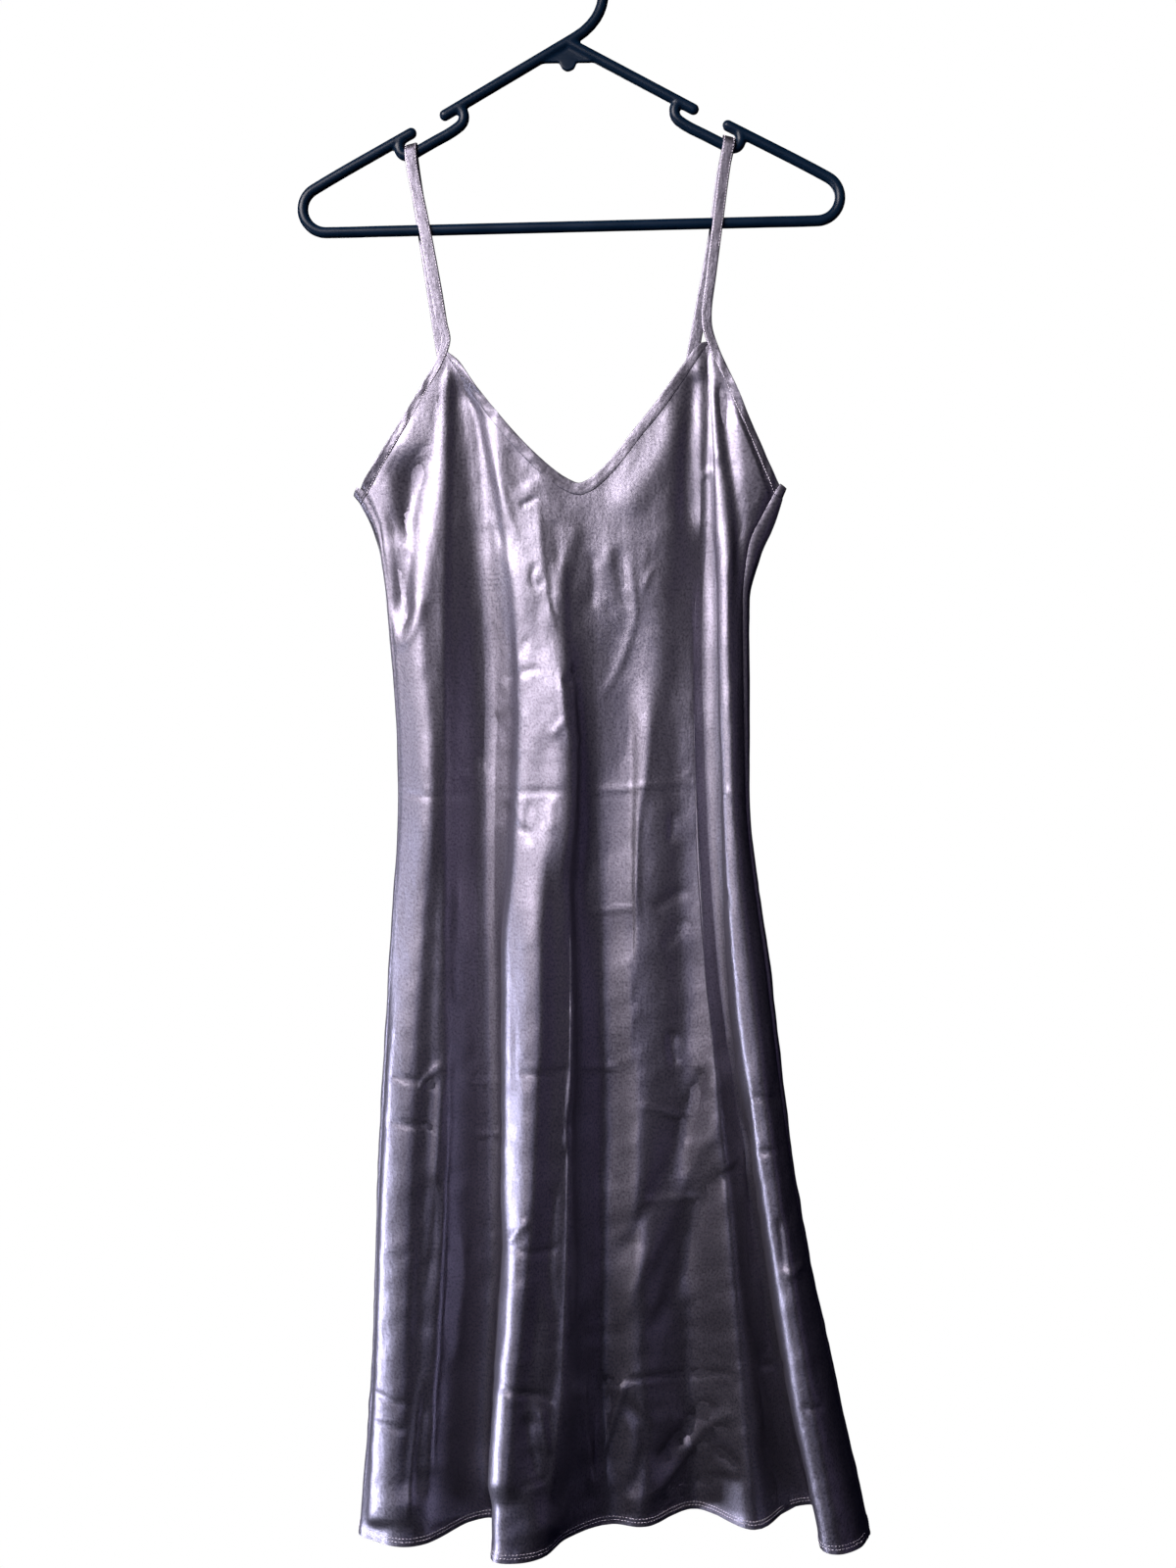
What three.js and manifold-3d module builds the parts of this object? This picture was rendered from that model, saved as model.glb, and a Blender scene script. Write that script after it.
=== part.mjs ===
// A satin slip dress that hangs by its straps from a plastic hanger.
// Millimetres, +Z up, +X to the wearer's left as seen from the front, the front towards -Y.
// The origin is where the hanger's hook rests on its rail.
import * as THREE from 'three';
import { mergeVertices } from 'three/addons/utils/BufferGeometryUtils.js';
import Module from 'manifold-3d';

// Cloth sizes
const CLOTH = 1.2;
const BINDING = 1.5;
const SEAM_GAP = 0.3;
const HEM_TURN_UP = 7;
const HEM_THICKNESS = 2.2;
const STRAP_WIDTH = 9.5;
const STRAP_END_TRIM = 0.09;
const NECK_END_REACH = 0.9;
const STRAP_LEAN = 6;

// Hanger sizes, in its own upright frame with the apex of its arms at (0, 0)
const ROD_RADIUS = 4.3;
const HOOK_RADIUS = 25;
const HOOK_CENTRE = { x: 3.7, z: 37 };
const HOOK_END_DEGREES = 172;
const HOOK_REST = { x: HOOK_CENTRE.x, z: HOOK_CENTRE.z + HOOK_RADIUS - ROD_RADIUS };
const HANGER_TILT = THREE.MathUtils.degToRad(1.4);
const UPPER_TIP = { x: 96.5, z: -54.3 };
const OUTER_TIP = { x: 122.7, z: -67.6 };
const END_BEND = { x: 190.3, z: -125, radius: 18, from: 62, to: -90 };
const BAR_Z = END_BEND.z - END_BEND.radius;
const WEB = { halfWidth: 27, depth: 15.8, thickness: 4, knobRadius: 6.5 };

// Heights where the dress's sections are given
const HEIGHTS = {
  yoke: -432, bust: -456, ribs: -490, waist: -633, hip: -785, thigh: -940, knee: -1090, hem: -1207,
};
const ROWS_ABOVE_YOKE = 6;
const ROWS_BELOW_YOKE = 29;
const HEM_START = HEIGHTS.hem + HEM_TURN_UP;

// The fold lines of the front from the left seam to the right one.
// x and y hold the place at the top edge and then at each of HEIGHTS; y grows away from the viewer.
// cells is the number of grid cells up to the next line.
const FRONT_FOLDS = [
  { name: 'left seam', cells: 3,
    x: [-158, -148, -145, -140.5, -132, -139.5, -147.5, -152, -160], y: [-2, -3, -3, -3, -4, -6, -9, -13, -20] },
  { name: 'left flute crest', cells: 4,
    x: [-141, -129, -124, -119, -109, -115, -121, -125, -129], y: [-6, -10, -11, -12, -16, -20, -26, -32, -38] },
  { name: 'left apex line', cells: 2,
    x: [-95, -98, -99, -101, -98, -101, -103, -108, -109], y: [-6, -7, -8, -9, -12, -16, -20, -26, -33] },
  { name: 'left valley', cells: 2,
    x: [-78, -77, -75, -73, -70, -68, -68, -74, -78], y: [-7, -4, -3, -1, 3, 5, 6, 6, 6] },
  { name: 'centre flute foot', cells: 1,
    x: [-62, -58, -55, -52, -50, -52, -52, -61, -60], y: [-8, -6, -5, -4, -2, 0, 4, 8, 12] },
  { name: 'centre flute pressed edge', cells: 2,
    x: [-57, -51, -47, -43, -41, -42, -43, -51, -56], y: [-9, -9, -10, -12, -15, -23, -33, -46, -62] },
  { name: 'centre flute crest', cells: 2,
    x: [-38, -31, -28, -24, -20, -19, -20, -29, -36], y: [-9, -11, -12, -14, -18, -26, -36, -50, -65] },
  { name: 'centre flute right edge', cells: 1,
    x: [-16, -8, -7, -6, 1, 4, 1, -4, -20], y: [-9, -10, -11, -13, -17, -25, -34, -46, -56] },
  { name: 'behind the centre flute', cells: 2,
    x: [-5, 0, 0, 1, 7, 11, 10, 8, -2], y: [-8, -7, -6, -5, -4, -6, -9, -14, -22] },
  { name: 'centre valley', cells: 3,
    x: [11, 13, 14, 16, 20, 25, 27, 25, 31], y: [-7, -6, -5, -3, 0, 2, 3, 4, 1] },
  { name: 'inner wave crest', cells: 2,
    x: [44, 52, 54, 55, 53, 48, 52, 55, 58], y: [-8, -9, -9, -10, -10, -9, -7, -5, -4] },
  { name: 'inner valley', cells: 2,
    x: [74, 81, 81, 81, 83, 87, 90, 93, 98], y: [-8, -8, -7, -6, -3, 1, 9, 19, 30] },
  { name: 'second wave crest', cells: 1,
    x: [92, 95, 95, 96, 99, 107, 120, 133, 142], y: [-7, -6, -6, -6, -6, -6, -6, -7, -9] },
  { name: 'right valley floor', cells: 1,
    x: [99, 101, 101, 101, 104, 113, 131, 149, 176], y: [-7, -6, -5, -5, -3, 0, 6, 14, 31] },
  { name: 'right valley', cells: 1,
    x: [106, 106, 106, 106, 110, 119, 141, 164, 195], y: [-6, -5, -4, -3, 1, 6, 15, 25, 35] },
  { name: 'right flute pressed edge', cells: 1,
    x: [112, 111, 110, 110, 114, 126, 146, 168, 190], y: [-7, -9, -10, -11, -12, -17, -25, -34, -45] },
  { name: 'right flute crest', cells: 2,
    x: [128, 124, 122, 121, 124, 138, 157, 180, 200], y: [-7, -10, -12, -13, -14, -20, -29, -40, -51] },
  { name: 'right flute shoulder', cells: 2,
    x: [143, 134, 129, 127, 130, 146, 166, 192, 218], y: [-5, -7, -8, -9, -10, -14, -20, -30, -40] },
  { name: 'right seam', cells: 0,
    x: [158, 145, 137, 134, 136, 153, 173, 203, 228.5], y: [-2, -3, -3, -3, -3, -5, -9, -13, -20] },
];

// The fold lines of the back, seen from the front, with the two side folds that wrap forward to the seams.
const BACK_FOLDS = [
  { name: 'left side fold', cells: 2,
    x: [-167, -155.5, -148, -143.5, -134.3, -142, -150, -154.5, -163], y: [1, 3, 3, 4, 5, 6, 7, 7, 4] },
  { name: 'left turn', cells: 3,
    x: [-150, -140, -136, -133, -124, -129, -134, -138, -143], y: [8, 10, 11, 13, 18, 26, 36, 46, 48] },
  { name: 'left flute', cells: 3,
    x: [-112, -112, -110, -108, -100, -102, -104, -106, -108], y: [12, 14, 16, 18, 30, 44, 62, 82, 96] },
  { name: 'left trough', cells: 3,
    x: [-75, -74, -73, -72, -66, -65, -66, -68, -72], y: [13, 14, 15, 16, 23, 31, 40, 50, 58] },
  { name: 'middle flute left side', cells: 3,
    x: [-35, -34, -34, -33, -30, -26, -24, -24, -28], y: [14, 15, 16, 18, 28, 41, 56, 74, 88] },
  { name: 'middle trough', cells: 3,
    x: [0, 1, 2, 4, 6, 12, 16, 18, 18], y: [13, 14, 15, 16, 24, 32, 42, 52, 60] },
  { name: 'middle flute right side', cells: 3,
    x: [36, 36, 37, 39, 42, 47, 56, 60, 66], y: [14, 15, 16, 18, 29, 43, 60, 80, 95] },
  { name: 'right trough', cells: 3,
    x: [69, 71, 71, 72, 74, 81, 95, 104, 112], y: [13, 14, 15, 16, 24, 32, 42, 54, 62] },
  { name: 'right flute', cells: 3,
    x: [112, 110, 107, 104, 102, 114, 134, 150, 163], y: [12, 13, 14, 16, 26, 38, 54, 74, 90] },
  { name: 'right turn', cells: 2,
    x: [150, 141, 133, 128, 127, 143, 162, 186, 208], y: [8, 10, 11, 12, 15, 22, 30, 40, 48] },
  { name: 'right side fold', cells: 2,
    x: [166, 158.5, 148, 139.5, 139.5, 157, 176, 206, 231.5], y: [1, 3, 3, 4, 4, 5, 6, 7, 4] },
];

// The stitch line of the front's top edge, and the width of the binding outside it.
const FRONT_TOP = [
  { x: -158, z: -408, binding: 7 },
  { x: -115, z: -335, binding: 5 },
  { x: -95, z: -301, binding: 5 },
  { x: -67, z: -343, binding: 6.5 },
  { x: -40, z: -375.5, binding: 7.5 },
  { x: -21, z: -394, binding: 8.3 },
  { x: -7.5, z: -404, binding: 8.8 },
  { x: 6.8, z: -409.5, binding: 8.8 },
  { x: 18, z: -405, binding: 8.3 },
  { x: 35, z: -389, binding: 7.3 },
  { x: 54, z: -364.5, binding: 7.3 },
  { x: 73, z: -341, binding: 7.5 },
  { x: 106, z: -292, binding: 6 },
  { x: 127, z: -337, binding: 5.8 },
  { x: 158, z: -407.5, binding: 7.2 },
];
const LEFT_APEX_X = -95;
const RIGHT_APEX_X = 106;

// The stitch line of the back's top edge, low between the places where the straps are sewn on.
const BACK_TOP = [
  { x: -165, z: -416 },
  { x: -150, z: -429 },
  { x: -112, z: -455 },
  { x: -75, z: -470 },
  { x: -35, z: -487 },
  { x: 0, z: -493 },
  { x: 36, z: -487 },
  { x: 69, z: -470 },
  { x: 112, z: -452 },
  { x: 150, z: -425 },
  { x: 165, z: -412 },
];
const BACK_BINDING_WIDTH = 9;
const UNDERARM = -408;

// The middle of each strap: in front from the apex up to its notch, and behind from the notch down to the back.
// The strip narrows where it folds at the apex.
const STRAPS = {
  left: {
    side: -1,
    notchX: -123.4,
    front: [
      { x: -96.2, z: -291, width: 7.4 },
      { x: -99.4, z: -276, width: 8.8 },
      { x: -103.4, z: -253, width: STRAP_WIDTH },
      { x: -113.2, z: -200.4, width: STRAP_WIDTH },
      { x: -122.2, z: -156, width: STRAP_WIDTH },
    ],
    back: [
      { x: -120.8, z: -162 },
      { x: -114.8, z: -201 },
      { x: -100.6, z: -293 },
      { x: -87, z: -380 },
      { x: -75, z: -458 },
    ],
  },
  right: {
    side: 1,
    notchX: 122.7,
    front: [
      { x: 106, z: -281, width: 8 },
      { x: 105.4, z: -267, width: 8 },
      { x: 108.8, z: -240, width: 8 },
      { x: 113.8, z: -200, width: 8.4 },
      { x: 120, z: -152, width: 9 },
    ],
    back: [
      { x: 118.6, z: -158 },
      { x: 112.8, z: -201 },
      { x: 96.2, z: -294 },
      { x: 82, z: -378 },
      { x: 69, z: -458 },
    ],
  },
};

// Smooth value at x through a table's points, with no overshoot between them.
function smoothThrough(xs, ys, x) {
  const last = xs.length - 1;
  const at = THREE.MathUtils.clamp(x, Math.min(xs[0], xs[last]), Math.max(xs[0], xs[last]));
  const rising = xs[last] > xs[0];
  let i = 0;
  while (i < last - 1 && (rising ? at > xs[i + 1] : at < xs[i + 1])) {
    i += 1;
  }
  const slope = (k) => (ys[k + 1] - ys[k]) / (xs[k + 1] - xs[k]);
  const tangent = (k) => {
    if (k === 0) {
      return slope(0);
    }
    if (k === last) {
      return slope(last - 1);
    }
    const before = slope(k - 1);
    const after = slope(k);
    return before * after <= 0 ? 0 : (2 * before * after) / (before + after);
  };
  const span = xs[i + 1] - xs[i];
  const t = (at - xs[i]) / span;
  const h00 = 2 * t ** 3 - 3 * t ** 2 + 1;
  const h10 = t ** 3 - 2 * t ** 2 + t;
  return h00 * ys[i] + h10 * span * tangent(i) + (1 - h00) * ys[i + 1] + (t ** 3 - t ** 2) * span * tangent(i + 1);
}

const column = (table, key) => table.map((row) => row[key]);

function topOfFront(x) {
  const apexes = [LEFT_APEX_X, RIGHT_APEX_X];
  const piece = FRONT_TOP.filter((row) => {
    if (x <= apexes[0]) {
      return row.x <= apexes[0];
    }
    if (x >= apexes[1]) {
      return row.x >= apexes[1];
    }
    return row.x >= apexes[0] && row.x <= apexes[1];
  });
  return smoothThrough(column(piece, 'x'), column(piece, 'z'), x);
}

const topOfBack = (x) => smoothThrough(column(BACK_TOP, 'x'), column(BACK_TOP, 'z'), x);

// One section of a panel: a smooth line through its fold points, with each fold's number of cells.
function sectionThrough(points, folds) {
  const curve = new THREE.CatmullRomCurve3(points, false, 'centripetal');
  const section = [];
  folds.slice(0, -1).forEach((fold, i) => {
    for (let k = 0; k < fold.cells; k += 1) {
      section.push(curve.getPoint((i + k / fold.cells) / (folds.length - 1)));
    }
  });
  section.push(points[points.length - 1].clone());
  return section;
}

function foldPointsAt(folds, z, topHeight) {
  const heights = [topHeight, ...Object.values(HEIGHTS)];
  return folds.map((fold) => new THREE.Vector3(
    smoothThrough(heights, fold.x, z),
    smoothThrough(heights, fold.y, z),
    z,
  ));
}

// The front's outer face as rows of points, from its top edge down to the hem.
function frontPanelRows() {
  const folds = FRONT_FOLDS;
  const top = sectionThrough(folds.map((fold) => new THREE.Vector3(fold.x[0], fold.y[0], 0)), folds);
  top.forEach((point) => {
    point.z = topOfFront(point.x);
  });
  const sectionAt = (z) => sectionThrough(foldPointsAt(folds, z, HEIGHTS.yoke + 1), folds);
  const yoke = sectionAt(HEIGHTS.yoke);
  const rows = [];
  for (let k = 0; k < ROWS_ABOVE_YOKE; k += 1) {
    rows.push(top.map((point, j) => point.clone().lerp(yoke[j], k / ROWS_ABOVE_YOKE)));
  }
  for (let k = 0; k <= ROWS_BELOW_YOKE; k += 1) {
    rows.push(sectionAt(THREE.MathUtils.lerp(HEIGHTS.yoke, HEM_START, k / ROWS_BELOW_YOKE)));
  }
  rows.push(sectionAt(HEIGHTS.hem));
  return rows;
}

const frontRows = frontPanelRows();

// The back's outer face. Its rows start at the left seam, wrap round the left side fold, cross the back and
// wrap round to the right seam. Between its top edge and LEVEL_BELOW_SCOOP they are drawn closer together.
const LEVEL_BELOW_SCOOP = -585;
// The middle of the stretch from a seam to its side fold, as shares of the way across and back.
const WRAP = { across: 0.6, back: 0.3 };

function backPanelRows() {
  const sectionAt = (z) => sectionThrough(foldPointsAt(BACK_FOLDS, z, UNDERARM), BACK_FOLDS);
  const top = sectionAt(UNDERARM).map((point) => topOfBack(point.x));
  const last = frontRows[0].length - 1;
  return frontRows.map((frontRow) => {
    const rowHeight = frontRow[0].z;
    const middle = top.map((topHeight, j) => {
      const share = THREE.MathUtils.clamp((rowHeight - LEVEL_BELOW_SCOOP) / (UNDERARM - LEVEL_BELOW_SCOOP), 0, 1);
      const z = share > 0 ? THREE.MathUtils.lerp(LEVEL_BELOW_SCOOP, topHeight, share) : rowHeight;
      return sectionAt(z)[j];
    });
    const wrap = (seam, inside, fold) => {
      const outward = fold.clone().sub(inside).normalize();
      const edge = seam.clone().addScaledVector(outward, SEAM_GAP);
      const between = edge.clone().lerp(fold, WRAP.across);
      between.y = THREE.MathUtils.lerp(edge.y, fold.y, WRAP.back);
      return [edge, between];
    };
    const left = wrap(frontRow[0], frontRow[1], middle[0]);
    const right = wrap(frontRow[last], frontRow[last - 1], middle[middle.length - 1]);
    return [...left, ...middle, ...right.reverse()];
  });
}

const backRows = backPanelRows();

// The outward direction at each point of a grid of rows; facing is +1 or -1 along Y.
// beside holds the two columns of the neighbouring panel that go on past the seams.
function gridNormals(rows, facing, beside) {
  const last = rows[0].length - 1;
  return rows.map((row, i) => row.map((point, j) => {
    const above = rows[Math.max(i - 1, 0)][j];
    const below = rows[Math.min(i + 1, rows.length - 1)][j];
    const before = j === 0 && beside ? beside.left[i] : row[Math.max(j - 1, 0)];
    const after = j === last && beside ? beside.right[i] : row[Math.min(j + 1, last)];
    const down = below.clone().sub(above);
    const across = after.clone().sub(before);
    return across.cross(down).normalize().multiplyScalar(facing);
  }));
}

// A closed wall between a grid of outer points and the same points moved in by its thickness.
function wall(rows, facing, thicknessAt, beside) {
  const normals = gridNormals(rows, facing, beside);
  const inner = rows.map((row, i) => row.map((point, j) => (
    point.clone().addScaledVector(normals[i][j], -thicknessAt(i, j)))));
  const width = rows[0].length;
  const height = rows.length;
  const positions = [...rows.flat(), ...inner.flat()].flatMap((point) => point.toArray());
  const outerAt = (i, j) => i * width + j;
  const innerAt = (i, j) => width * height + i * width + j;
  const index = [];
  const quad = (a, b, c, d) => {
    index.push(a, b, c, a, c, d);
  };
  for (let i = 0; i < height - 1; i += 1) {
    for (let j = 0; j < width - 1; j += 1) {
      quad(outerAt(i, j), outerAt(i + 1, j), outerAt(i + 1, j + 1), outerAt(i, j + 1));
      quad(innerAt(i, j), innerAt(i, j + 1), innerAt(i + 1, j + 1), innerAt(i + 1, j));
    }
    quad(outerAt(i, 0), innerAt(i, 0), innerAt(i + 1, 0), outerAt(i + 1, 0));
    quad(outerAt(i, width - 1), outerAt(i + 1, width - 1), innerAt(i + 1, width - 1), innerAt(i, width - 1));
  }
  for (let j = 0; j < width - 1; j += 1) {
    quad(outerAt(0, j), outerAt(0, j + 1), innerAt(0, j + 1), innerAt(0, j));
    quad(outerAt(height - 1, j), innerAt(height - 1, j), innerAt(height - 1, j + 1), outerAt(height - 1, j + 1));
  }
  const geometry = new THREE.BufferGeometry();
  geometry.setAttribute('position', new THREE.Float32BufferAttribute(positions, 3));
  geometry.setIndex(facing < 0 ? index : flipped(index));
  geometry.computeVertexNormals();
  return geometry;
}

function flipped(index) {
  const turned = [];
  for (let i = 0; i < index.length; i += 3) {
    turned.push(index[i], index[i + 2], index[i + 1]);
  }
  return turned;
}

const besideSeams = (rows) => ({ left: rows.map((row) => row[1]), right: rows.map((row) => row[row.length - 2]) });

function panelThickness(rowCount) {
  return (i) => (i >= rowCount - 2 ? HEM_THICKNESS : CLOTH);
}

// The points just outside a panel's top edge, in the plane of the panel, at a distance from it.
function outsideTop(panel, j, distance) {
  const row = panel.rows[0];
  const before = j === 0 ? panel.beside.left[0] : row[j - 1];
  const after = j === row.length - 1 ? panel.beside.right[0] : row[j + 1];
  const normal = gridNormals(panel.rows.slice(0, 2), panel.facing, panel.beside)[0][j];
  const outward = normal.clone().cross(after.clone().sub(before)).normalize();
  if (outward.z < 0) {
    outward.negate();
  }
  return row[j].clone().addScaledVector(outward, distance);
}

const widthAt = (x) => smoothThrough(column(FRONT_TOP, 'x'), column(FRONT_TOP, 'binding'), x);

// A strip bound to a panel's top edge, over the given columns of its grid.
function bindingRows(panel, columns, widthOf) {
  const inner = columns.map((j) => outsideTop(panel, j, SEAM_GAP));
  const outer = columns.map((j) => outsideTop(panel, j, SEAM_GAP + widthOf(panel.rows[0][j].x)));
  return [outer, inner];
}

const frontPanel = { rows: frontRows, facing: -1, beside: besideSeams(backRows) };
const backPanel = { rows: backRows, facing: 1, beside: besideSeams(frontRows) };

const range = (from, to) => Array.from({ length: to - from + 1 }, (unused, i) => from + i);
const columnNearest = (rows, x) => {
  const distances = rows[0].map((point) => Math.abs(point.x - x));
  return distances.indexOf(Math.min(...distances));
};

const leftApexColumn = columnNearest(frontRows, LEFT_APEX_X);
const rightApexColumn = columnNearest(frontRows, RIGHT_APEX_X);

// A point of the hanger's own frame, which is tilted about the place where the hook rests.
function hangerPoint(x, z) {
  return new THREE.Vector3(x - HOOK_REST.x, 0, z - HOOK_REST.z)
    .applyAxisAngle(new THREE.Vector3(0, 1, 0), -HANGER_TILT);
}

const ROD_SIDES = 8;

function rodSection() {
  const shape = new THREE.Shape();
  for (let k = 0; k < ROD_SIDES; k += 1) {
    const angle = (2 * Math.PI * k) / ROD_SIDES;
    const corner = [ROD_RADIUS * Math.cos(angle), ROD_RADIUS * Math.sin(angle)];
    if (k === 0) {
      shape.moveTo(...corner);
    } else {
      shape.lineTo(...corner);
    }
  }
  shape.closePath();
  return shape;
}

function rodAlong(points, steps) {
  const path = new THREE.CatmullRomCurve3(points, false, 'centripetal');
  return new THREE.ExtrudeGeometry(rodSection(), { steps, extrudePath: path });
}

function knobAt(point, radius = ROD_RADIUS) {
  return new THREE.SphereGeometry(radius, 8, 6).translate(point.x, point.y, point.z);
}

function arc(centre, radius, fromDegrees, toDegrees, steps) {
  return range(0, steps).map((k) => {
    const angle = THREE.MathUtils.degToRad(fromDegrees + ((toDegrees - fromDegrees) * k) / steps);
    return { x: centre.x + radius * Math.cos(angle), z: centre.z + radius * Math.sin(angle) };
  });
}

// The middle rod of one side: it leaves the upper arm, runs down to the lower notch and joins the outer arm.
const MIDDLE_ROD = [
  { x: 87, z: -47.5 },
  { x: 82, z: -53 },
  { x: 82.5, z: -60 },
  { x: 90, z: -66.5 },
  { x: 105, z: -74.6 },
  { x: 117, z: -81.1 },
  { x: 124.5, z: -84.9 },
  { x: 130, z: -84 },
  { x: 132.5, z: -79.5 },
  { x: 131.5, z: -73.6 },
];

function hangerSide(side) {
  const place = ({ x, z }) => hangerPoint(side * x, z);
  const upperArm = rodAlong([hangerPoint(0, 0), place(UPPER_TIP)], 6);
  const middle = rodAlong(MIDDLE_ROD.map(place), 24);
  return [upperArm, knobAt(place(UPPER_TIP)), middle, knobAt(place(OUTER_TIP))];
}

function outerFrame() {
  const half = [
    OUTER_TIP,
    { x: 148, z: -81.2 },
    { x: 175, z: -95.7 },
    ...arc(END_BEND, END_BEND.radius, END_BEND.from, END_BEND.to, 12),
    { x: 160, z: BAR_Z },
    { x: 80, z: BAR_Z },
  ];
  const right = half.map(({ x, z }) => hangerPoint(x, z));
  const left = half.map(({ x, z }) => hangerPoint(-x, z)).reverse();
  return rodAlong([...right, hangerPoint(0, BAR_Z), ...left], 84);
}

function hook() {
  const rise = [{ x: -10, z: -5.6 }, { x: 0, z: 0 }, { x: 13, z: 8 }, { x: 22.5, z: 18 }, { x: 27.3, z: 28 }];
  const bend = arc(HOOK_CENTRE, HOOK_RADIUS, 0, HOOK_END_DEGREES, 14);
  const points = [...rise, ...bend].map(({ x, z }) => hangerPoint(x, z));
  return [rodAlong(points, 26), knobAt(points[points.length - 1])];
}

// The web that fills the angle under the apex, with its round knob.
function web() {
  const { halfWidth, depth, thickness, knobRadius } = WEB;
  const shape = new THREE.Shape();
  shape.moveTo(0, 0);
  shape.lineTo(halfWidth, -depth);
  shape.lineTo(-halfWidth, -depth);
  shape.closePath();
  const plate = new THREE.ExtrudeGeometry(shape, { depth: thickness, bevelEnabled: false });
  const knob = new THREE.CylinderGeometry(knobRadius, knobRadius, thickness, 20).rotateX(Math.PI / 2);
  knob.translate(0, -depth, thickness / 2);
  return [plate, knob].map((geometry) => {
    geometry.rotateX(Math.PI / 2);
    geometry.translate(-HOOK_REST.x, thickness / 2, -HOOK_REST.z);
    geometry.rotateY(-HANGER_TILT);
    return geometry;
  });
}

const wasm = await Module();
wasm.setup();

function joined(geometries) {
  const solids = geometries.map((geometry) => {
    const bare = geometry.clone();
    bare.deleteAttribute('normal');
    bare.deleteAttribute('uv');
    const merged = mergeVertices(bare, 1e-4);
    return new wasm.Manifold(new wasm.Mesh({
      numProp: 3,
      vertProperties: new Float32Array(merged.getAttribute('position').array),
      triVerts: new Uint32Array(merged.getIndex().array),
    }));
  });
  const mesh = solids.reduce((whole, solid) => whole.add(solid)).getMesh();
  const geometry = new THREE.BufferGeometry();
  geometry.setAttribute('position', new THREE.Float32BufferAttribute(mesh.vertProperties, 3));
  geometry.setIndex([...mesh.triVerts]);
  geometry.computeVertexNormals();
  return geometry;
}

// Rows across a strap where it passes over the rod of its notch, from front to back.
function rowsOverNotch(side, x, width) {
  const rod = MIDDLE_ROD.map((point) => hangerPoint(side * point.x, point.z));
  const run = rod.slice(4, 8).sort((a, b) => a.x - b.x);
  const heightAt = (at) => smoothThrough(column(run, 'x'), column(run, 'z'), at);
  const clearance = ROD_RADIUS + SEAM_GAP + CLOTH;
  const slopeFactor = 1.08;
  const bendAllowance = 0.2;
  const steps = 8;
  return range(0, steps).map((k) => {
    const angle = (Math.PI * k) / steps;
    return [1, -1].map((edge) => {
      const across = x + (side * edge * width) / 2;
      return new THREE.Vector3(
        across,
        -clearance * Math.cos(angle),
        heightAt(across) + bendAllowance + slopeFactor * clearance * Math.sin(angle),
      );
    });
  });
}

// A strap: it binds the armhole edge, runs up in front of the bar, over the notch and down behind it.
function strapRows(name) {
  const { side, notchX, front, back } = STRAPS[name];
  const apex = side < 0 ? leftApexColumn : rightApexColumn;
  const last = frontRows[0].length - 1;
  const seamToApex = side < 0 ? range(0, apex - 1) : range(apex + 1, last).reverse();
  const [outer, inner] = bindingRows(frontPanel, seamToApex, widthAt);
  const armhole = outer.map((point, k) => [point, inner[k]]);
  armhole[0] = armhole[0].map((point, k) => point.clone().lerp(armhole[1][k], STRAP_END_TRIM));
  const clear = ROD_RADIUS + SEAM_GAP + CLOTH;
  const straight = front.map(({ x, z, width }) => [1, -1].map((edge) => (
    new THREE.Vector3(x + (side * edge * width) / 2, -clear, z))));
  const over = rowsOverNotch(side, notchX, STRAP_WIDTH);
  const lastBack = back.length - 1;
  const behind = back.map(({ x, z }, k) => [1, -1].map((edge) => (
    new THREE.Vector3(x + (side * edge * STRAP_WIDTH) / 2, clear + (STRAP_LEAN * k) / lastBack, z))));
  return [...armhole, ...straight, ...over, ...behind].map(([a, b]) => [a, a.clone().lerp(b, 0.5), b]);
}

const satin = new THREE.MeshStandardMaterial({ color: 0x9a8a9e, roughness: 0.35, metalness: 0 });
const plastic = new THREE.MeshStandardMaterial({ color: 0x0b1626, roughness: 0.35, metalness: 0 });

function named(name, geometry, material) {
  const mesh = new THREE.Mesh(geometry, material);
  mesh.name = name;
  return mesh;
}

const dress = new THREE.Group();
const hanger = joined([...hangerSide(-1), ...hangerSide(1), outerFrame(), ...hook(), ...web()]);
dress.add(named('hanger', hanger, plastic));
dress.add(named('front_panel', wall(frontRows, -1, panelThickness(frontRows.length), besideSeams(backRows)), satin));
dress.add(named('back_panel', wall(backRows, 1, panelThickness(backRows.length), besideSeams(frontRows)), satin));

// The neck binding ends under each strap, part of the way to the apex.
function neckBindingRows() {
  const [outer, inner] = bindingRows(frontPanel, range(leftApexColumn + 1, rightApexColumn - 1), widthAt);
  return [outer, inner].map((edge) => {
    const reachTo = (apex, beside) => frontRows[0][apex].clone().sub(frontRows[0][beside])
      .multiplyScalar(NECK_END_REACH);
    const left = edge[0].clone().add(reachTo(leftApexColumn, leftApexColumn + 1));
    const right = edge[edge.length - 1].clone().add(reachTo(rightApexColumn, rightApexColumn - 1));
    return [left, ...edge, right];
  });
}

const neckRows = neckBindingRows();
dress.add(named('neck_binding', wall(neckRows, -1, () => BINDING), satin));

const backColumns = range(0, backRows[0].length - 1);
const backBindingRows = bindingRows(backPanel, backColumns, () => BACK_BINDING_WIDTH);
dress.add(named('back_binding', wall(backBindingRows, 1, () => BINDING), satin));

dress.add(named('left_strap', wall(strapRows('left'), 1, () => CLOTH), satin));
dress.add(named('right_strap', wall(strapRows('right'), -1, () => CLOTH), satin));

export default dress;
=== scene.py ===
"""A lilac satin slip dress that hangs by its straps from a dark plastic hanger.

Metres, +Z up, the front towards -Y. The origin is where the hanger's hook rests on its rail.
The cloth pieces are thin shells on the form of their solids, from the same named sizes.
"""
import math

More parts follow.
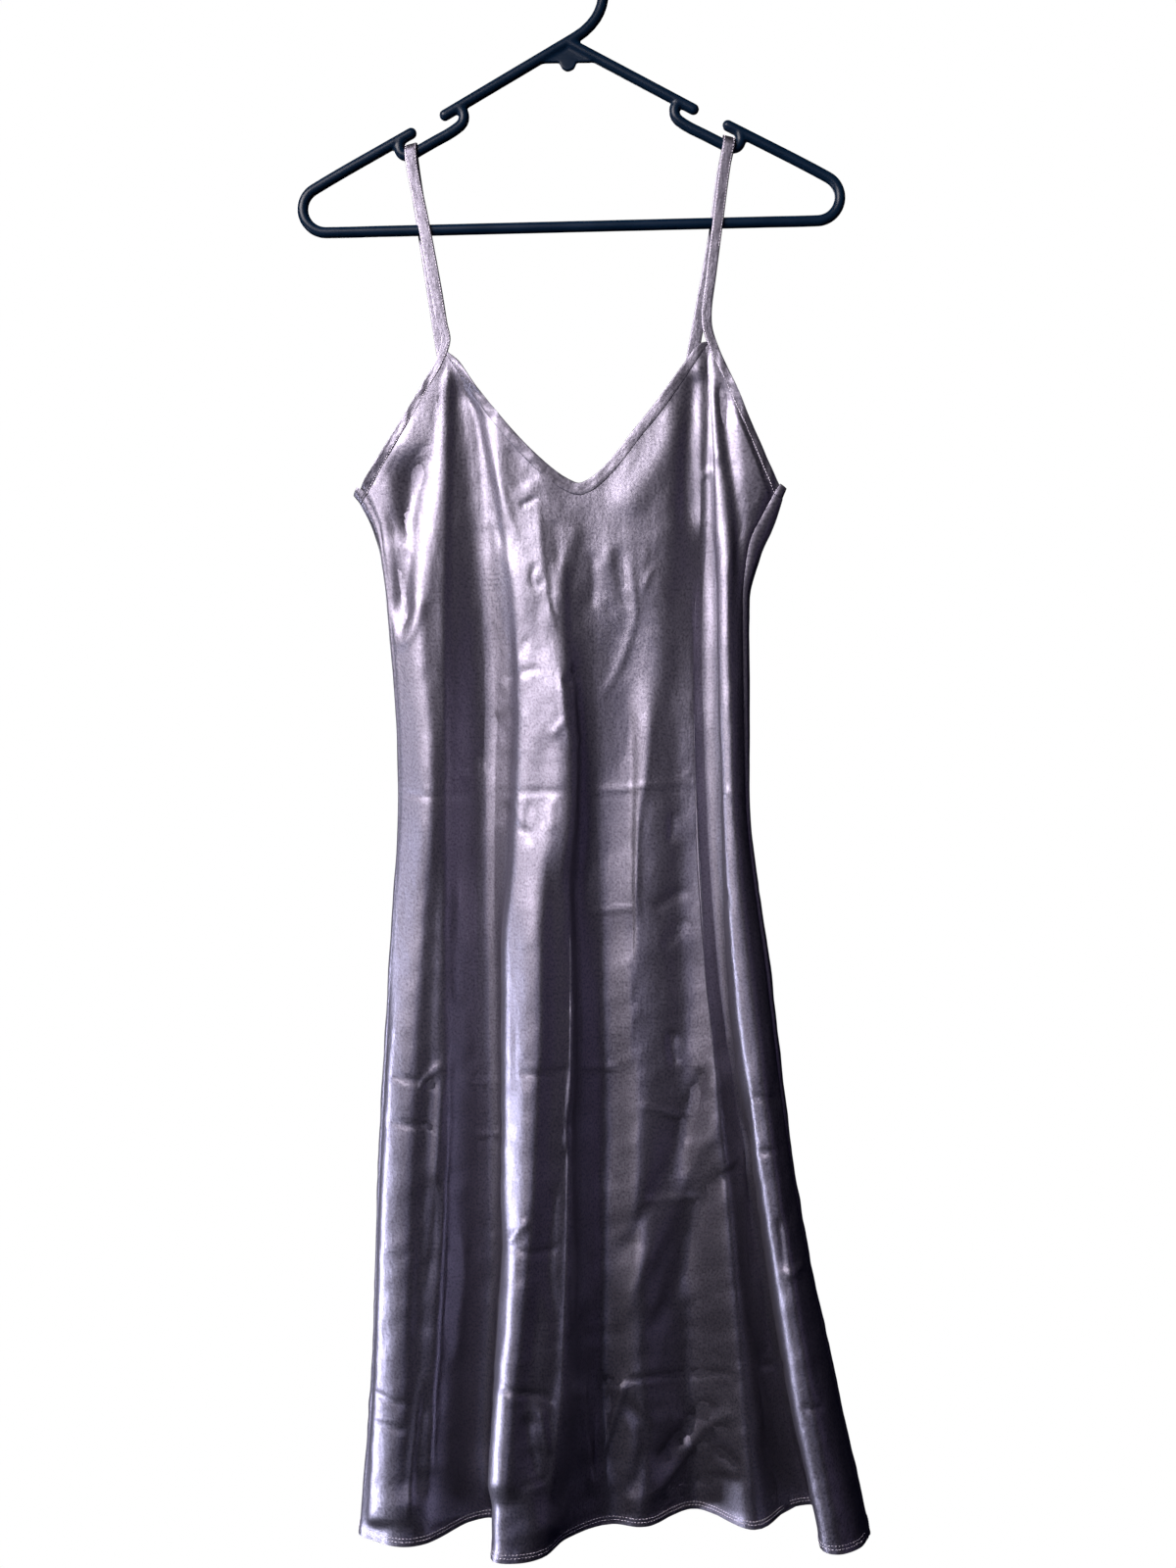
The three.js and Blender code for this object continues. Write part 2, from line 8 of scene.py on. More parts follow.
import bpy
import numpy as np
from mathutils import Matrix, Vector


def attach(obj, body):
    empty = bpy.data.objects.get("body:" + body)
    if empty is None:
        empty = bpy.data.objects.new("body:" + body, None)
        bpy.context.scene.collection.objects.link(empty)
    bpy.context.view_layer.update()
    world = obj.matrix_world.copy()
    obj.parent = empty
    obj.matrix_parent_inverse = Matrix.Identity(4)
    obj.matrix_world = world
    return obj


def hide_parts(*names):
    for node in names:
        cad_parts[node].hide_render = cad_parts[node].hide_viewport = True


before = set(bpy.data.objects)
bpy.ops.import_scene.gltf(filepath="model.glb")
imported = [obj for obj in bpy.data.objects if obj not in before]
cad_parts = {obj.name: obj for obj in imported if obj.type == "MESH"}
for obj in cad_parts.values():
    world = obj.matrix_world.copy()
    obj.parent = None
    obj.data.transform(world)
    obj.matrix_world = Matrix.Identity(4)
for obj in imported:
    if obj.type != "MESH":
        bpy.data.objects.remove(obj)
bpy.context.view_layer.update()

MM = 0.001

# The camera stands level with the waist, 1.3 m in front of the hanger.
CAMERA_AT = (0.0137, -1.3, -0.6328)
CAMERA_LENS = 38.49

# Creases are placed on a chart of the dress as it hangs: across and down, in units of 0.76 mm.
CHART_UNIT = 0.00076
CHART_MIDDLE = (600, 800)

# Cloth sizes
SATIN = 0.45 * MM
INNER_FACE_DROP = 0.35 * MM
SEAM_GAP = 0.12 * MM
HEM_TURN_UP = 7 * MM
BINDING_OVERLAP = 0.9 * MM
THREAD_LIFT = 0.02 * MM
STRAP_WIDTH = 9.5
BACK_BINDING_WIDTH = 9

# Hanger sizes in millimetres, in its own upright frame with the apex of its arms at (0, 0)
ROD_RADIUS = 4.3
HOOK_RADIUS = 25
HOOK_CENTRE = (3.7, 37)
HOOK_REST = (3.7, 57.7)
HANGER_TILT = math.radians(1.4)
UPPER_TIP = (96.5, -54.3)
OUTER_TIP = (122.7, -67.6)
END_BEND = (190.3, -125)
END_BEND_RADIUS = 18
BAR_Z = -143
MIDDLE_ROD = [
    (87, -47.5), (82, -53), (82.5, -60), (90, -66.5), (105, -74.6), (117, -81.1), (124.5, -84.9),
    (130, -84), (132.5, -79.5), (131.5, -73.6),
]
STRAP_CLEARANCE = (ROD_RADIUS + 1.5) * MM

# Heights in millimetres where the dress's sections are given
HEIGHTS = {
    "yoke": -432,
    "bust": -456,
    "ribs": -490,
    "waist": -633,
    "hip": -785,
    "thigh": -940,
    "knee": -1090,
    "hem": -1207,
}
UNDERARM = -408
BELOW_SCOOP = -585

# Rows of the panels' grids, and the spacing in millimetres of their columns
ROWS_ABOVE_YOKE = 44
ROWS_BELOW_YOKE = 292
FRONT_SPACING = 1.95
BACK_SPACING = 2.6
INNER_FACE_SKIP = 4

# The lower skirt is more creased: from where on the chart, and over how much of it
LOW_SKIRT = 850
LOW_SKIRT_RANGE = 350
SMALL_CREASE = 2 * MM

# Fold lines of the front: name, x and y at the top edge and then at each height
FRONT_FOLDS = [
    ("left seam", (-158, -148, -145, -140.5, -132, -139.5, -147.5, -152, -160),
     (-2, -3, -3, -3, -4, -6, -9, -13, -20)),
    ("left flute crest", (-141, -129, -124, -119, -109, -115, -121, -125, -129),
     (-6, -10, -11, -12, -16, -20, -26, -32, -38)),
    ("left apex line", (-95, -98, -99, -101, -98, -101, -103, -108, -109),
     (-6, -7, -8, -9, -12, -16, -20, -26, -33)),
    ("left valley", (-78, -77, -75, -73, -70, -68, -68, -74, -78),
     (-7, -4, -3, -1, 3, 5, 6, 6, 6)),
    ("centre flute foot", (-62, -58, -55, -52, -50, -52, -52, -61, -60),
     (-8, -6, -5, -4, -2, 0, 4, 8, 12)),
    ("centre flute pressed edge", (-57, -51, -47, -43, -41, -42, -43, -51, -56),
     (-9, -9, -10, -12, -15, -23, -33, -46, -62)),
    ("centre flute crest", (-38, -31, -28, -24, -20, -19, -20, -29, -36),
     (-9, -11, -12, -14, -18, -26, -36, -50, -65)),
    ("centre flute right edge", (-16, -8, -7, -6, 1, 4, 1, -4, -20),
     (-9, -10, -11, -13, -17, -25, -34, -46, -56)),
    ("behind the centre flute", (-5, 0, 0, 1, 7, 11, 10, 8, -2),
     (-8, -9, -9.5, -10, -4, -6, -9, -14, -22)),
    ("centre valley", (11, 13, 14, 16, 20, 25, 27, 25, 31),
     (-7.5, -8, -8, -7, 0, 2, 3, 4, 1)),
    ("inner wave crest", (44, 52, 54, 55, 53, 48, 52, 55, 58),
     (-8, -9, -9, -10, -10, -9, -7, -5, -4)),
    ("inner valley", (74, 81, 81, 81, 83, 87, 90, 93, 98),
     (-8, -8, -7, -6, -3, 1, 9, 19, 30)),
    ("second wave crest", (92, 95, 95, 96, 99, 107, 120, 133, 142),
     (-7, -6, -6, -6, -6, -6, -6, -7, -9)),
    ("right valley floor", (99, 101, 101, 101, 104, 113, 131, 149, 176),
     (-7, -6, -5, -5, -3, 0, 6, 14, 31)),
    ("right valley", (106, 106, 106, 106, 110, 119, 141, 164, 195),
     (-6, -5, -4, -3, 1, 6, 15, 25, 35)),
    ("right flute pressed edge", (112, 111, 110, 110, 114, 126, 146, 168, 190),
     (-7, -9, -10, -11, -12, -17, -25, -34, -45)),
    ("right flute crest", (128, 124, 122, 121, 124, 138, 157, 180, 200),
     (-7, -10, -12, -13, -14, -20, -29, -40, -51)),
    ("right flute shoulder", (143, 134, 129, 127, 130, 146, 166, 192, 218),
     (-5, -7, -8, -9, -10, -14, -20, -30, -40)),
    ("right seam", (158, 145, 137, 134, 136, 153, 173, 203, 228.5),
     (-2, -3, -3, -3, -3, -5, -9, -13, -20)),
]

# Fold lines of the back, seen from the front
BACK_FOLDS = [
    ("left side fold", (-167, -155.5, -148, -143.5, -134.3, -142, -150, -154.5, -163),
     (1, 3, 3, 4, 5, 6, 7, 7, 4)),
    ("left turn", (-150, -140, -136, -133, -124, -129, -134, -138, -143),
     (8, 10, 11, 13, 18, 26, 36, 46, 48)),
    ("left flute", (-112, -112, -110, -108, -100, -102, -104, -106, -108),
     (12, 14, 16, 18, 30, 44, 62, 82, 96)),
    ("left trough", (-75, -74, -73, -72, -66, -65, -66, -68, -72),
     (13, 14, 15, 16, 23, 31, 40, 50, 58)),
    ("middle flute left side", (-35, -34, -34, -33, -30, -26, -24, -24, -28),
     (14, 15, 16, 18, 28, 41, 56, 74, 88)),
    ("middle trough", (0, 1, 2, 4, 6, 12, 16, 18, 18),
     (13, 14, 15, 16, 24, 32, 42, 52, 60)),
    ("middle flute right side", (36, 36, 37, 39, 42, 47, 56, 60, 66),
     (14, 15, 16, 18, 29, 43, 60, 80, 95)),
    ("right trough", (69, 71, 71, 72, 74, 81, 95, 104, 112),
     (13, 14, 15, 16, 24, 32, 42, 54, 62)),
    ("right flute", (112, 110, 107, 104, 102, 114, 134, 150, 163),
     (12, 13, 14, 16, 26, 38, 54, 74, 90)),
    ("right turn", (150, 141, 133, 128, 127, 143, 162, 186, 208),
     (8, 10, 11, 12, 15, 22, 30, 40, 48)),
    ("right side fold", (166, 158.5, 148, 139.5, 139.5, 157, 176, 206, 231.5),
     (1, 3, 3, 4, 4, 5, 6, 7, 4)),
]

# The stitch line of the front's top edge: x, z and the width of the binding outside it
LEFT_APEX_X = -95
RIGHT_APEX_X = 106
FRONT_TOP = [
    (-158, -408, 7), (-115, -335, 5), (-95, -301, 5), (-67, -343, 6.5), (-40, -375.5, 7.5),
    (-21, -394, 8.3), (-7.5, -404, 8.8), (6.8, -409.5, 8.8), (18, -405, 8.3), (35, -389, 7.3),
    (54, -364.5, 7.3), (73, -341, 7.5), (106, -292, 6), (127, -337, 5.8), (158, -407.5, 7.2),
]

# The stitch line of the back's top edge: x and z
BACK_TOP = [
    (-165, -416), (-150, -429), (-112, -455), (-75, -470), (-35, -487), (0, -493),
    (36, -487), (69, -470), (112, -452), (150, -425), (165, -412),
]

# The middle of each strap in front (x, z, width) and behind (x, z)
STRAPS = {
    "left": {
        "side": -1,
        "notch_x": -123.4,
        "front": [(-96.2, -291, 7.4), (-99.4, -276, 8.8), (-103.4, -253, 9.5), (-113.2, -200.4, 9.5),
                  (-122.2, -156, 9.5)],
        "back": [(-120.8, -162), (-114.8, -201), (-100.6, -293), (-87, -380), (-75, -458)],
    },
    "right": {
        "side": 1,
        "notch_x": 122.7,
        "front": [(106, -281, 8), (105.4, -267, 8), (108.8, -240, 8), (113.8, -200, 8.4), (120, -152, 9)],
        "back": [(118.6, -158), (112.8, -201), (96.2, -294), (82, -378), (69, -458)],
    },
}


def crease(name, height, left, right, *points, start=0.2, end=0.2, pressed=False):
    """One crease. The name says which one it is and is not used; height is in mm towards the outside, left
    and right are the widths of its two sides and the points lie along it, both on the chart, and start and
    end are the shares of its length over which it fades."""
    return {"height": height * MM, "left": left, "right": right, "points": points,
            "start": start, "end": end, "pressed": pressed}


FRONT_CREASES = [
    # left bodice, from the apex
    crease("ridge beside the apex fold", 0.7, 6, 7, (457, 366), (455, 400), (453, 440), (452, 475),
           (447, 520), (440, 575), (432, 630), (428, 690), start=0.04),
    crease("thin red fold", -0.8, 2.6, 3, (452, 372), (447, 411), (443, 447), (439, 483), (434, 520),
           (427, 562), start=0.05),
    crease("long ridge to the waist", 0.6, 8, 6, (444, 440), (442, 470), (440, 500), (437, 530), (433, 562),
           (427, 598), (420, 630), (412, 652)),
    crease("deep side fold", -5.6, 19, 14, (427, 450), (422, 480), (418, 512), (415, 548), (412, 580),
           (407, 615), (401, 650), start=0.22),
    crease("dark patch at the side", -4.0, 20, 12, (428, 455), (422, 490), (415, 525), (409, 560),
           start=0.3, end=0.3),
    crease("side ridge", 0.9, 4, 6, (395, 545), (396, 575), (397, 600), (398, 630), (399, 652), end=0.1),
    crease("small dark fold of the side", -0.5, 3, 3, (421, 466), (430, 458), (440, 456)),
    crease("round end of the side fold", 1.2, 5, 5, (398, 645), (403, 657), (413, 655), (424, 636),
           (430, 606)),
    crease("inner line of that fold", -0.9, 3, 3, (400, 600), (401, 625), (404, 642), (412, 632),
           (418, 606)),
    # the dark fold from the left apex to the hem
    crease("brow of the dark fold", 1.8, 13, 5, (458, 372), (457, 430), (455, 500), (453, 580), (452, 680),
           (453, 800), (454, 950), (455, 1080), (452, 1200), (448, 1320), (442, 1430), (436, 1540),
           start=0.02, end=0.06),
    crease("floor of the dark fold", -5.2, 22, 11, (467, 374), (482, 430), (490, 500), (494, 580),
           (495, 680), (495, 780), (496, 900), (500, 1020), (502, 1150), (500, 1280), (493, 1400),
           (487, 1540), start=0.03, end=0.06),
    # right of the dark fold
    crease("bright edge of the dark fold", 0.6, 6, 6, (470, 385), (477, 420), (484, 465), (489, 518),
           (495, 572), (501, 620), (508, 680), start=0.1),
    crease("grey fold right of it", -0.9, 5, 5, (483, 410), (490, 440), (498, 483), (507, 536), (518, 575)),
    crease("ridge to the centre flute", 0.9, 6, 6, (492, 420), (500, 455), (508, 490), (519, 525),
           (530, 560)),
    crease("hollow under the neck", -0.6, 13, 15, (520, 452), (530, 478), (540, 498)),
    crease("small pucker", -0.9, 3, 3, (529, 516), (538, 513), (548, 506)),
    crease("pressed line under the pucker", 0.9, 7, 2.2, (548, 504), (551, 530), (553, 560), (557, 590),
           (563, 622), (566, 650), pressed=True),
    crease("crumple left of the line", -0.8, 3, 3, (549, 572), (543, 586), (545, 598), (557, 592)),
    crease("dark hollow beside the line", -0.7, 8, 8, (566, 528), (568, 552), (572, 580)),
    crease("bright slope below the neck", 1.1, 9, 9, (592, 530), (582, 560), (574, 590), (570, 625)),
    crease("grey line in the flute", -0.6, 3, 4, (528, 672), (533, 660), (540, 648)),
    crease("fold across the flute", -0.7, 4, 3, (511, 692), (530, 686), (553, 680)),
    crease("pressed edge at the waist", 0.7, 3.5, 6, (513, 600), (514, 628), (512, 665), (510, 690),
           (505, 720)),
    crease("ragged slope above the hip", -1.1, 9, 7, (508, 724), (499, 744), (492, 768), (484, 795)),
    crease("second ragged slope", 0.9, 5, 4, (497, 732), (490, 752), (482, 780), (477, 806)),
    crease("jog of the flute edge", -1.6, 5, 5, (589, 678), (582, 690), (575, 702)),
    crease("flute edge below the jog", 1.1, 3, 4, (572, 682), (573, 706), (576, 735), (582, 766)),
    crease("diagonal tuck", 0.9, 3, 3, (562, 753), (569, 744), (577, 733)),
    crease("second diagonal tuck", 1.0, 3, 3, (581, 766), (587, 756), (595, 742)),
    crease("thin line beside the tuck", -0.6, 2.5, 2.5, (560, 600), (563, 614), (566, 628)),
    # right bodice
    crease("pressed line from the right apex", -0.6, 2.2, 2.2, (721, 356), (724, 411), (727, 465),
           (726.5, 520), (727, 575), (727.5, 640), (729, 700), start=0.03, pressed=True),
    crease("bright strip left of the line", 0.5, 8, 6, (715, 368), (717, 400), (718, 430), (722, 470),
           start=0.1),
    crease("strip right of the line", 0.4, 5, 8, (729, 380), (732, 420), (733, 465), (733, 520),
           (734, 575)),
    crease("dark fold left of the strip", -2.4, 9, 12, (712, 376), (708, 400), (704, 430), (702, 470),
           (701, 510), (703, 550), start=0.1),
    crease("fall to the strip", -9.0, 28, 18, (712, 430), (715, 490), (716, 540), (717, 600), (717, 660),
           (717, 720), (718, 800), (718, 900), (718, 980), (724, 1080), (734, 1160), start=0.25, end=0.25),
    crease("slope along the neck", 1.6, 16, 16, (694, 405), (684, 440), (670, 475), (652, 505), (632, 532)),
    crease("dark band at the right", -3.2, 7, 8, (736, 385), (741, 440), (748, 490), (755, 545), (761, 600),
           (763, 650), start=0.08),
    crease("soft ridge to the armhole", 3.2, 17, 10, (758, 410), (766, 440), (775, 475), (784, 510),
           (785, 540), start=0.15),
    crease("pinch on the line", 0.9, 2.5, 2.5, (716, 487), (721, 483), (726, 477)),
    crease("pinch right of it", 0.7, 2.5, 2.5, (728, 472), (733, 465), (737, 460)),
    crease("thin line in the middle", 0.7, 2.2, 3, (621, 556), (621.5, 568), (622, 580), pressed=True),
    crease("dark band below the neck", -1.0, 6, 6, (604, 560), (606, 590), (603, 625)),
    crease("second dark band", -0.9, 6, 5, (632, 556), (634, 590), (638, 625)),
    crease("long soft line", 0.8, 4, 4, (641, 556), (645, 590), (648, 626), (640, 655), (625, 690),
           (607, 722)),
    crease("streak", 0.5, 3, 3, (655, 606), (661, 590), (667, 577)),
    # the dark fold behind the centre flute
    crease("softer inner wave", -8.5, 34, 30, (638, 540), (643, 620), (645, 700), (647, 780), (648, 880),
           (646, 1000), (644, 1080), (636, 1200), (628, 1320), end=0.3),
    crease("lean of the centre flute", -4.6, 17, 30, (513, 570), (512, 640), (510, 700), (507, 780),
           (508, 880), start=0.3, end=0.5),
    crease("brow of the centre flute", 3.4, 32, 7, (578, 640), (582, 700), (584, 780), (578, 860),
           (566, 920), start=0.25, end=0.25),
    crease("crest of the centre flute", 7.5, 20, 12, (566, 800), (556, 860), (549, 930), (549, 1000),
           (547, 1100), (543, 1200), (533, 1330), (521, 1440), (514, 1540), start=0.25, end=0.04),
    crease("fall of the centre flute", -5.0, 15, 14, (594, 830), (587, 930), (583, 1050), (580, 1150),
           (576, 1250), (571, 1360), (563, 1480), (558, 1560), start=0.12, end=0.05),
    crease("foot of the crest", 4.5, 7, 6, (528, 850), (521, 930), (519, 1050), (518, 1200), (514, 1290),
           start=0.3, end=0.2),
    crease("flat of the left flute", -4.5, 26, 14, (448, 840), (443, 960), (438, 1100), (434, 1250),
           (430, 1400), (426, 1540), start=0.15, end=0.04),
    crease("round of the left side", 5.0, 10, 24, (402, 960), (396, 1060), (390, 1180), (386, 1300),
           (384, 1420), (384, 1560), end=0.02),
    # middle
    crease("soft highlight", 1.1, 9, 7, (671, 700), (665, 745), (660, 795), (652, 830), (648, 880),
           (650, 950)),
    crease("slope left of the highlight", -2.2, 20, 7, (640, 690), (639, 770), (639, 850), (640, 930),
           (644, 1010)),
    crease("dent", -1.1, 3.5, 4, (688, 828), (687, 845), (686, 862)),
    crease("packing crease at the left", -0.55, 3, 3, (402, 806), (425, 812), (452, 813), (490, 809)),
    crease("packing crease in the flute", -0.55, 3, 3, (505, 808), (540, 808), (586, 807)),
    crease("packing crease at the right", 0.6, 3, 3, (592, 808), (640, 804), (690, 799), (728, 800)),
    crease("short line above it", 0.5, 2.5, 2.5, (690, 797), (697, 792), (705, 788)),
    crease("dents under the packing crease", -0.6, 4, 4, (516, 818), (513, 830), (509, 840)),
    crease("tuck in the flute", 0.6, 3.5, 4, (566, 812), (561, 828), (563, 850)),
    crease("tuck beside it", -0.6, 3.5, 4, (541, 815), (538, 838), (540, 865)),
    crease("crescent", -0.6, 4, 3, (518, 822), (530, 845), (545, 848)),
    crease("line down the centre flute", -0.55, 2.2, 2.2, (527, 880), (526, 940), (525, 1000), (526, 1071),
           (524, 1179), (522, 1240), pressed=True),
    crease("lower line of the centre flute", -0.7, 2.2, 2.2, (523, 1262), (519, 1310), (516, 1357),
           (510, 1400), (503, 1470), (504, 1540), pressed=True),
    crease("flank ridge of the flute", 0.8, 5, 6, (558, 880), (557, 960), (556, 1040), (554, 1110)),
    crease("valley crease", -0.9, 7, 6, (463, 905), (460, 950), (457, 1000), (454, 1060), (452, 1100)),
    crease("sliver in the valley", 0.8, 6, 5, (470, 892), (466, 930), (463, 980), (470, 1040)),
    crease("crease at the thigh", 0.5, 2.5, 3, (600, 934), (622, 929), (648, 927)),
    crease("soft dent at the right", -0.9, 6, 6, (668, 930), (684, 918), (700, 905)),
    crease("long dent at the right", -0.8, 6, 6, (676, 968), (690, 955), (698, 935)),
    # lower left
    crease("left hand pleat", -0.9, 3, 3, (453, 1085), (452, 1143), (448, 1200), (444, 1262), (437, 1330)),
    crease("left hand pleat edge", 0.9, 4, 2.5, (451, 1095), (449, 1150), (446, 1210), (452, 1236)),
    crease("diagonal at the left", 0.8, 4, 3, (426, 1112), (439, 1098), (452, 1084)),
    crease("crease at the left", -0.6, 3, 3, (398, 1096), (425, 1104), (452, 1110)),
    crease("crease in the dark valley", 0.5, 2.5, 3, (462, 1102), (490, 1107), (520, 1104)),
    crease("lower crease at the left", -0.6, 3, 3, (396, 1142), (420, 1149), (446, 1150)),
    crease("crease right of it", 0.5, 3, 3, (482, 1158), (500, 1160), (520, 1155)),
    crease("crease over the flute", -0.55, 3, 3, (528, 1094), (560, 1096), (586, 1092)),
    crease("crease over the valley", 0.5, 2.5, 3, (588, 1092), (606, 1089), (628, 1091)),
    crease("ridge in the valley", 0.9, 5, 6, (470, 1250), (474, 1300), (470, 1345), (466, 1400)),
    crease("fold at the left hem", -0.7, 3.5, 3, (384, 1418), (398, 1427), (414, 1435)),
    crease("second fold at the left hem", -0.6, 3, 3, (384, 1450), (400, 1456), (416, 1463)),
    crease("pale line at the left", 0.8, 5, 4, (436, 1390), (430, 1425), (425, 1460), (419, 1520),
           (417, 1560)),
    crease("notch in the flute", 0.9, 3, 3, (521, 1270), (530, 1256), (541, 1242)),
    crease("crease below the notch", -0.5, 3, 3, (523, 1272), (545, 1278), (575, 1274)),
    crease("crease on the flute", -0.8, 4, 3, (508, 1408), (530, 1421), (552, 1424), (572, 1436)),
    crease("hollow on the flute", -1.2, 8, 7, (538, 1440), (541, 1470), (549, 1515)),
    crease("ridge on the flute", 0.9, 4, 4, (552, 1436), (556, 1462), (562, 1490)),
    crease("low crease on the flute", -0.7, 3, 3, (530, 1518), (545, 1514), (563, 1511)),
    crease("pleat at the flute edge", 0.9, 3, 3, (585, 1090), (583, 1120), (579, 1150), (581, 1180)),
    crease("flank of the flute", -0.9, 6, 6, (566, 1200), (563, 1250), (560, 1300), (566, 1350)),
    # lower right
    crease("long diagonal fold", -2.6, 10, 9, (722, 1085), (706, 1128), (690, 1172), (672, 1212),
           (648, 1258), (624, 1315), start=0.15),
    crease("second diagonal fold", -2.4, 9, 9, (757, 1184), (732, 1205), (712, 1243), (697, 1288),
           (676, 1340), (652, 1378), start=0.12),
    crease("crest between the diagonals", 1.3, 10, 10, (735, 1130), (712, 1180), (690, 1228), (664, 1280),
           (640, 1330), (628, 1370)),
    crease("edge of the diagonal", 0.7, 3, 3, (753, 1180), (744, 1190), (732, 1198)),
    crease("dent under the thigh", -1.2, 5, 5, (689, 1050), (687, 1070), (692, 1090)),
    crease("dent beside it", -1.0, 5, 4, (714, 1090), (710, 1115), (705, 1135)),
    crease("pleat beside the right flute", 1.0, 4, 3, (750, 1080), (757, 1110), (759, 1150), (761, 1205)),
    crease("pleat shadow", -1.0, 3, 4, (753, 1076), (760, 1120), (763, 1180), (766, 1260), (768, 1330)),
    crease("crease across the right", 0.5, 3, 3, (650, 1229), (685, 1223), (716, 1221)),
    crease("second crease across", 0.5, 3, 3, (652, 1128), (675, 1134), (705, 1142)),
    crease("knee crease", -0.6, 3, 3, (596, 1416), (630, 1410), (690, 1403), (762, 1401)),
    crease("knee crease at the right", -0.6, 3, 3, (768, 1398), (785, 1393), (803, 1392)),
    crease("small fold at the hem", 1.5, 7, 5, (593, 1400), (595, 1450), (603, 1500), (606, 1530)),
    crease("its dark side", -1.6, 5, 7, (612, 1395), (616, 1440), (612, 1480), (608, 1510)),
    crease("crease of the wedge", 1.4, 6, 4, (640, 1400), (632, 1430), (620, 1465), (611, 1495)),
    crease("wedge's second side", -1.3, 8, 9, (636, 1422), (646, 1440), (657, 1462), (652, 1500),
           (640, 1530)),
    crease("low diagonal fold", 1.8, 7, 8, (752, 1437), (724, 1452), (700, 1478), (678, 1508), (661, 1535)),
    crease("dark side of that diagonal", -1.5, 8, 7, (736, 1432), (712, 1446), (690, 1470), (670, 1500)),
    crease("low crease at the right", -0.7, 4, 4, (700, 1515), (722, 1508), (745, 1506)),
    crease("dent at the right", -1.0, 6, 6, (728, 1480), (742, 1487), (752, 1500)),
    crease("hanging fold at the right", 1.0, 5, 4, (766, 1350), (768, 1390), (773, 1430), (777, 1480)),
    crease("shadow beside it", -1.1, 5, 6, (776, 1350), (780, 1400), (786, 1450), (792, 1490)),
    # right flute
    crease("crumple on the right flute", -0.9, 4, 4, (795, 1240), (798, 1268), (800, 1300)),
    crease("crumple beside it", 0.8, 3.5, 3.5, (801, 1304), (810, 1298), (820, 1286)),
    crease("crease on the right flute", -0.6, 3, 3, (766, 1119), (785, 1121), (803, 1120)),
    crease("second crease on the flute", -0.6, 3, 3, (772, 1178), (784, 1175), (794, 1176)),
    crease("crease above the hem", -0.7, 3, 3, (818, 1435), (830, 1438), (842, 1435)),
    crease("small dents on its edge", -0.6, 3, 3, (738, 905), (742, 918), (745, 928)),
    crease("seam crease at the right", 0.6, 3, 3, (738, 805), (748, 812), (757, 812)),
]

BACK_CREASES = [
    crease("packing crease at the waist", -0.7, 4, 4, (396, 800), (470, 806), (560, 803), (660, 798),
           (760, 802)),
    crease("packing crease at the thigh", 0.6, 4, 4, (392, 1094), (480, 1100), (590, 1096), (700, 1092)),
    crease("packing crease at the knee", -0.7, 4, 4, (400, 1404), (520, 1410), (640, 1404), (780, 1400)),
    crease("middle pressed line", -0.8, 3, 3, (590, 660), (592, 800), (596, 980), (600, 1150), (604, 1330),
           (606, 1500), pressed=True),
    crease("fold from the left strap", -1.8, 8, 7, (484, 610), (470, 680), (456, 760), (448, 850)),
    crease("ridge beside it", 1.5, 7, 8, (500, 612), (494, 690), (488, 780), (482, 880)),
    crease("fold from the right strap", -1.8, 7, 8, (674, 610), (690, 680), (706, 760), (716, 860)),
    crease("ridge beside that", 1.5, 8, 7, (656, 612), (664, 700), (676, 800), (688, 900)),
    crease("sway at the small of the back", -1.6, 14, 14, (520, 690), (560, 704), (600, 708), (650, 700)),
    crease("soft fold above it", 1.0, 10, 10, (530, 668), (570, 680), (620, 680), (655, 672)),
    crease("left diagonal", -2.0, 9, 9, (430, 930), (450, 1000), (480, 1080), (520, 1150), (545, 1230)),
    crease("right diagonal", -2.0, 9, 9, (740, 960), (716, 1040), (684, 1120), (656, 1210), (640, 1290)),
    crease("crest at the right", 1.3, 10, 9, (760, 1060), (742, 1130), (720, 1210), (706, 1290)),
    crease("wedge at the left hem", 1.4, 6, 8, (452, 1360), (462, 1430), (470, 1500)),
    crease("its dark side", -1.5, 8, 6, (474, 1340), (482, 1420), (486, 1500)),
    crease("wedge at the right hem", 1.4, 8, 6, (700, 1380), (708, 1450), (716, 1520)),
    crease("hollow in the right flute", -1.3, 9, 8, (660, 1360), (664, 1440), (672, 1510)),
    crease("tuck at the hip", 0.9, 4, 4, (520, 860), (534, 848), (548, 840)),
    crease("second tuck at the hip", -0.9, 4, 4, (632, 880), (648, 866), (662, 860)),
    crease("crumple", -0.9, 4, 5, (566, 930), (572, 950), (586, 962)),
    crease("crumple beside it", 0.8, 4, 4, (578, 918), (590, 940), (604, 950)),
    crease("streak at the left", 0.8, 4, 4, (430, 1150), (426, 1220), (420, 1300), (418, 1370)),
    crease("streak at the right", -0.8, 5, 5, (780, 1240), (790, 1310), (798, 1380)),
]


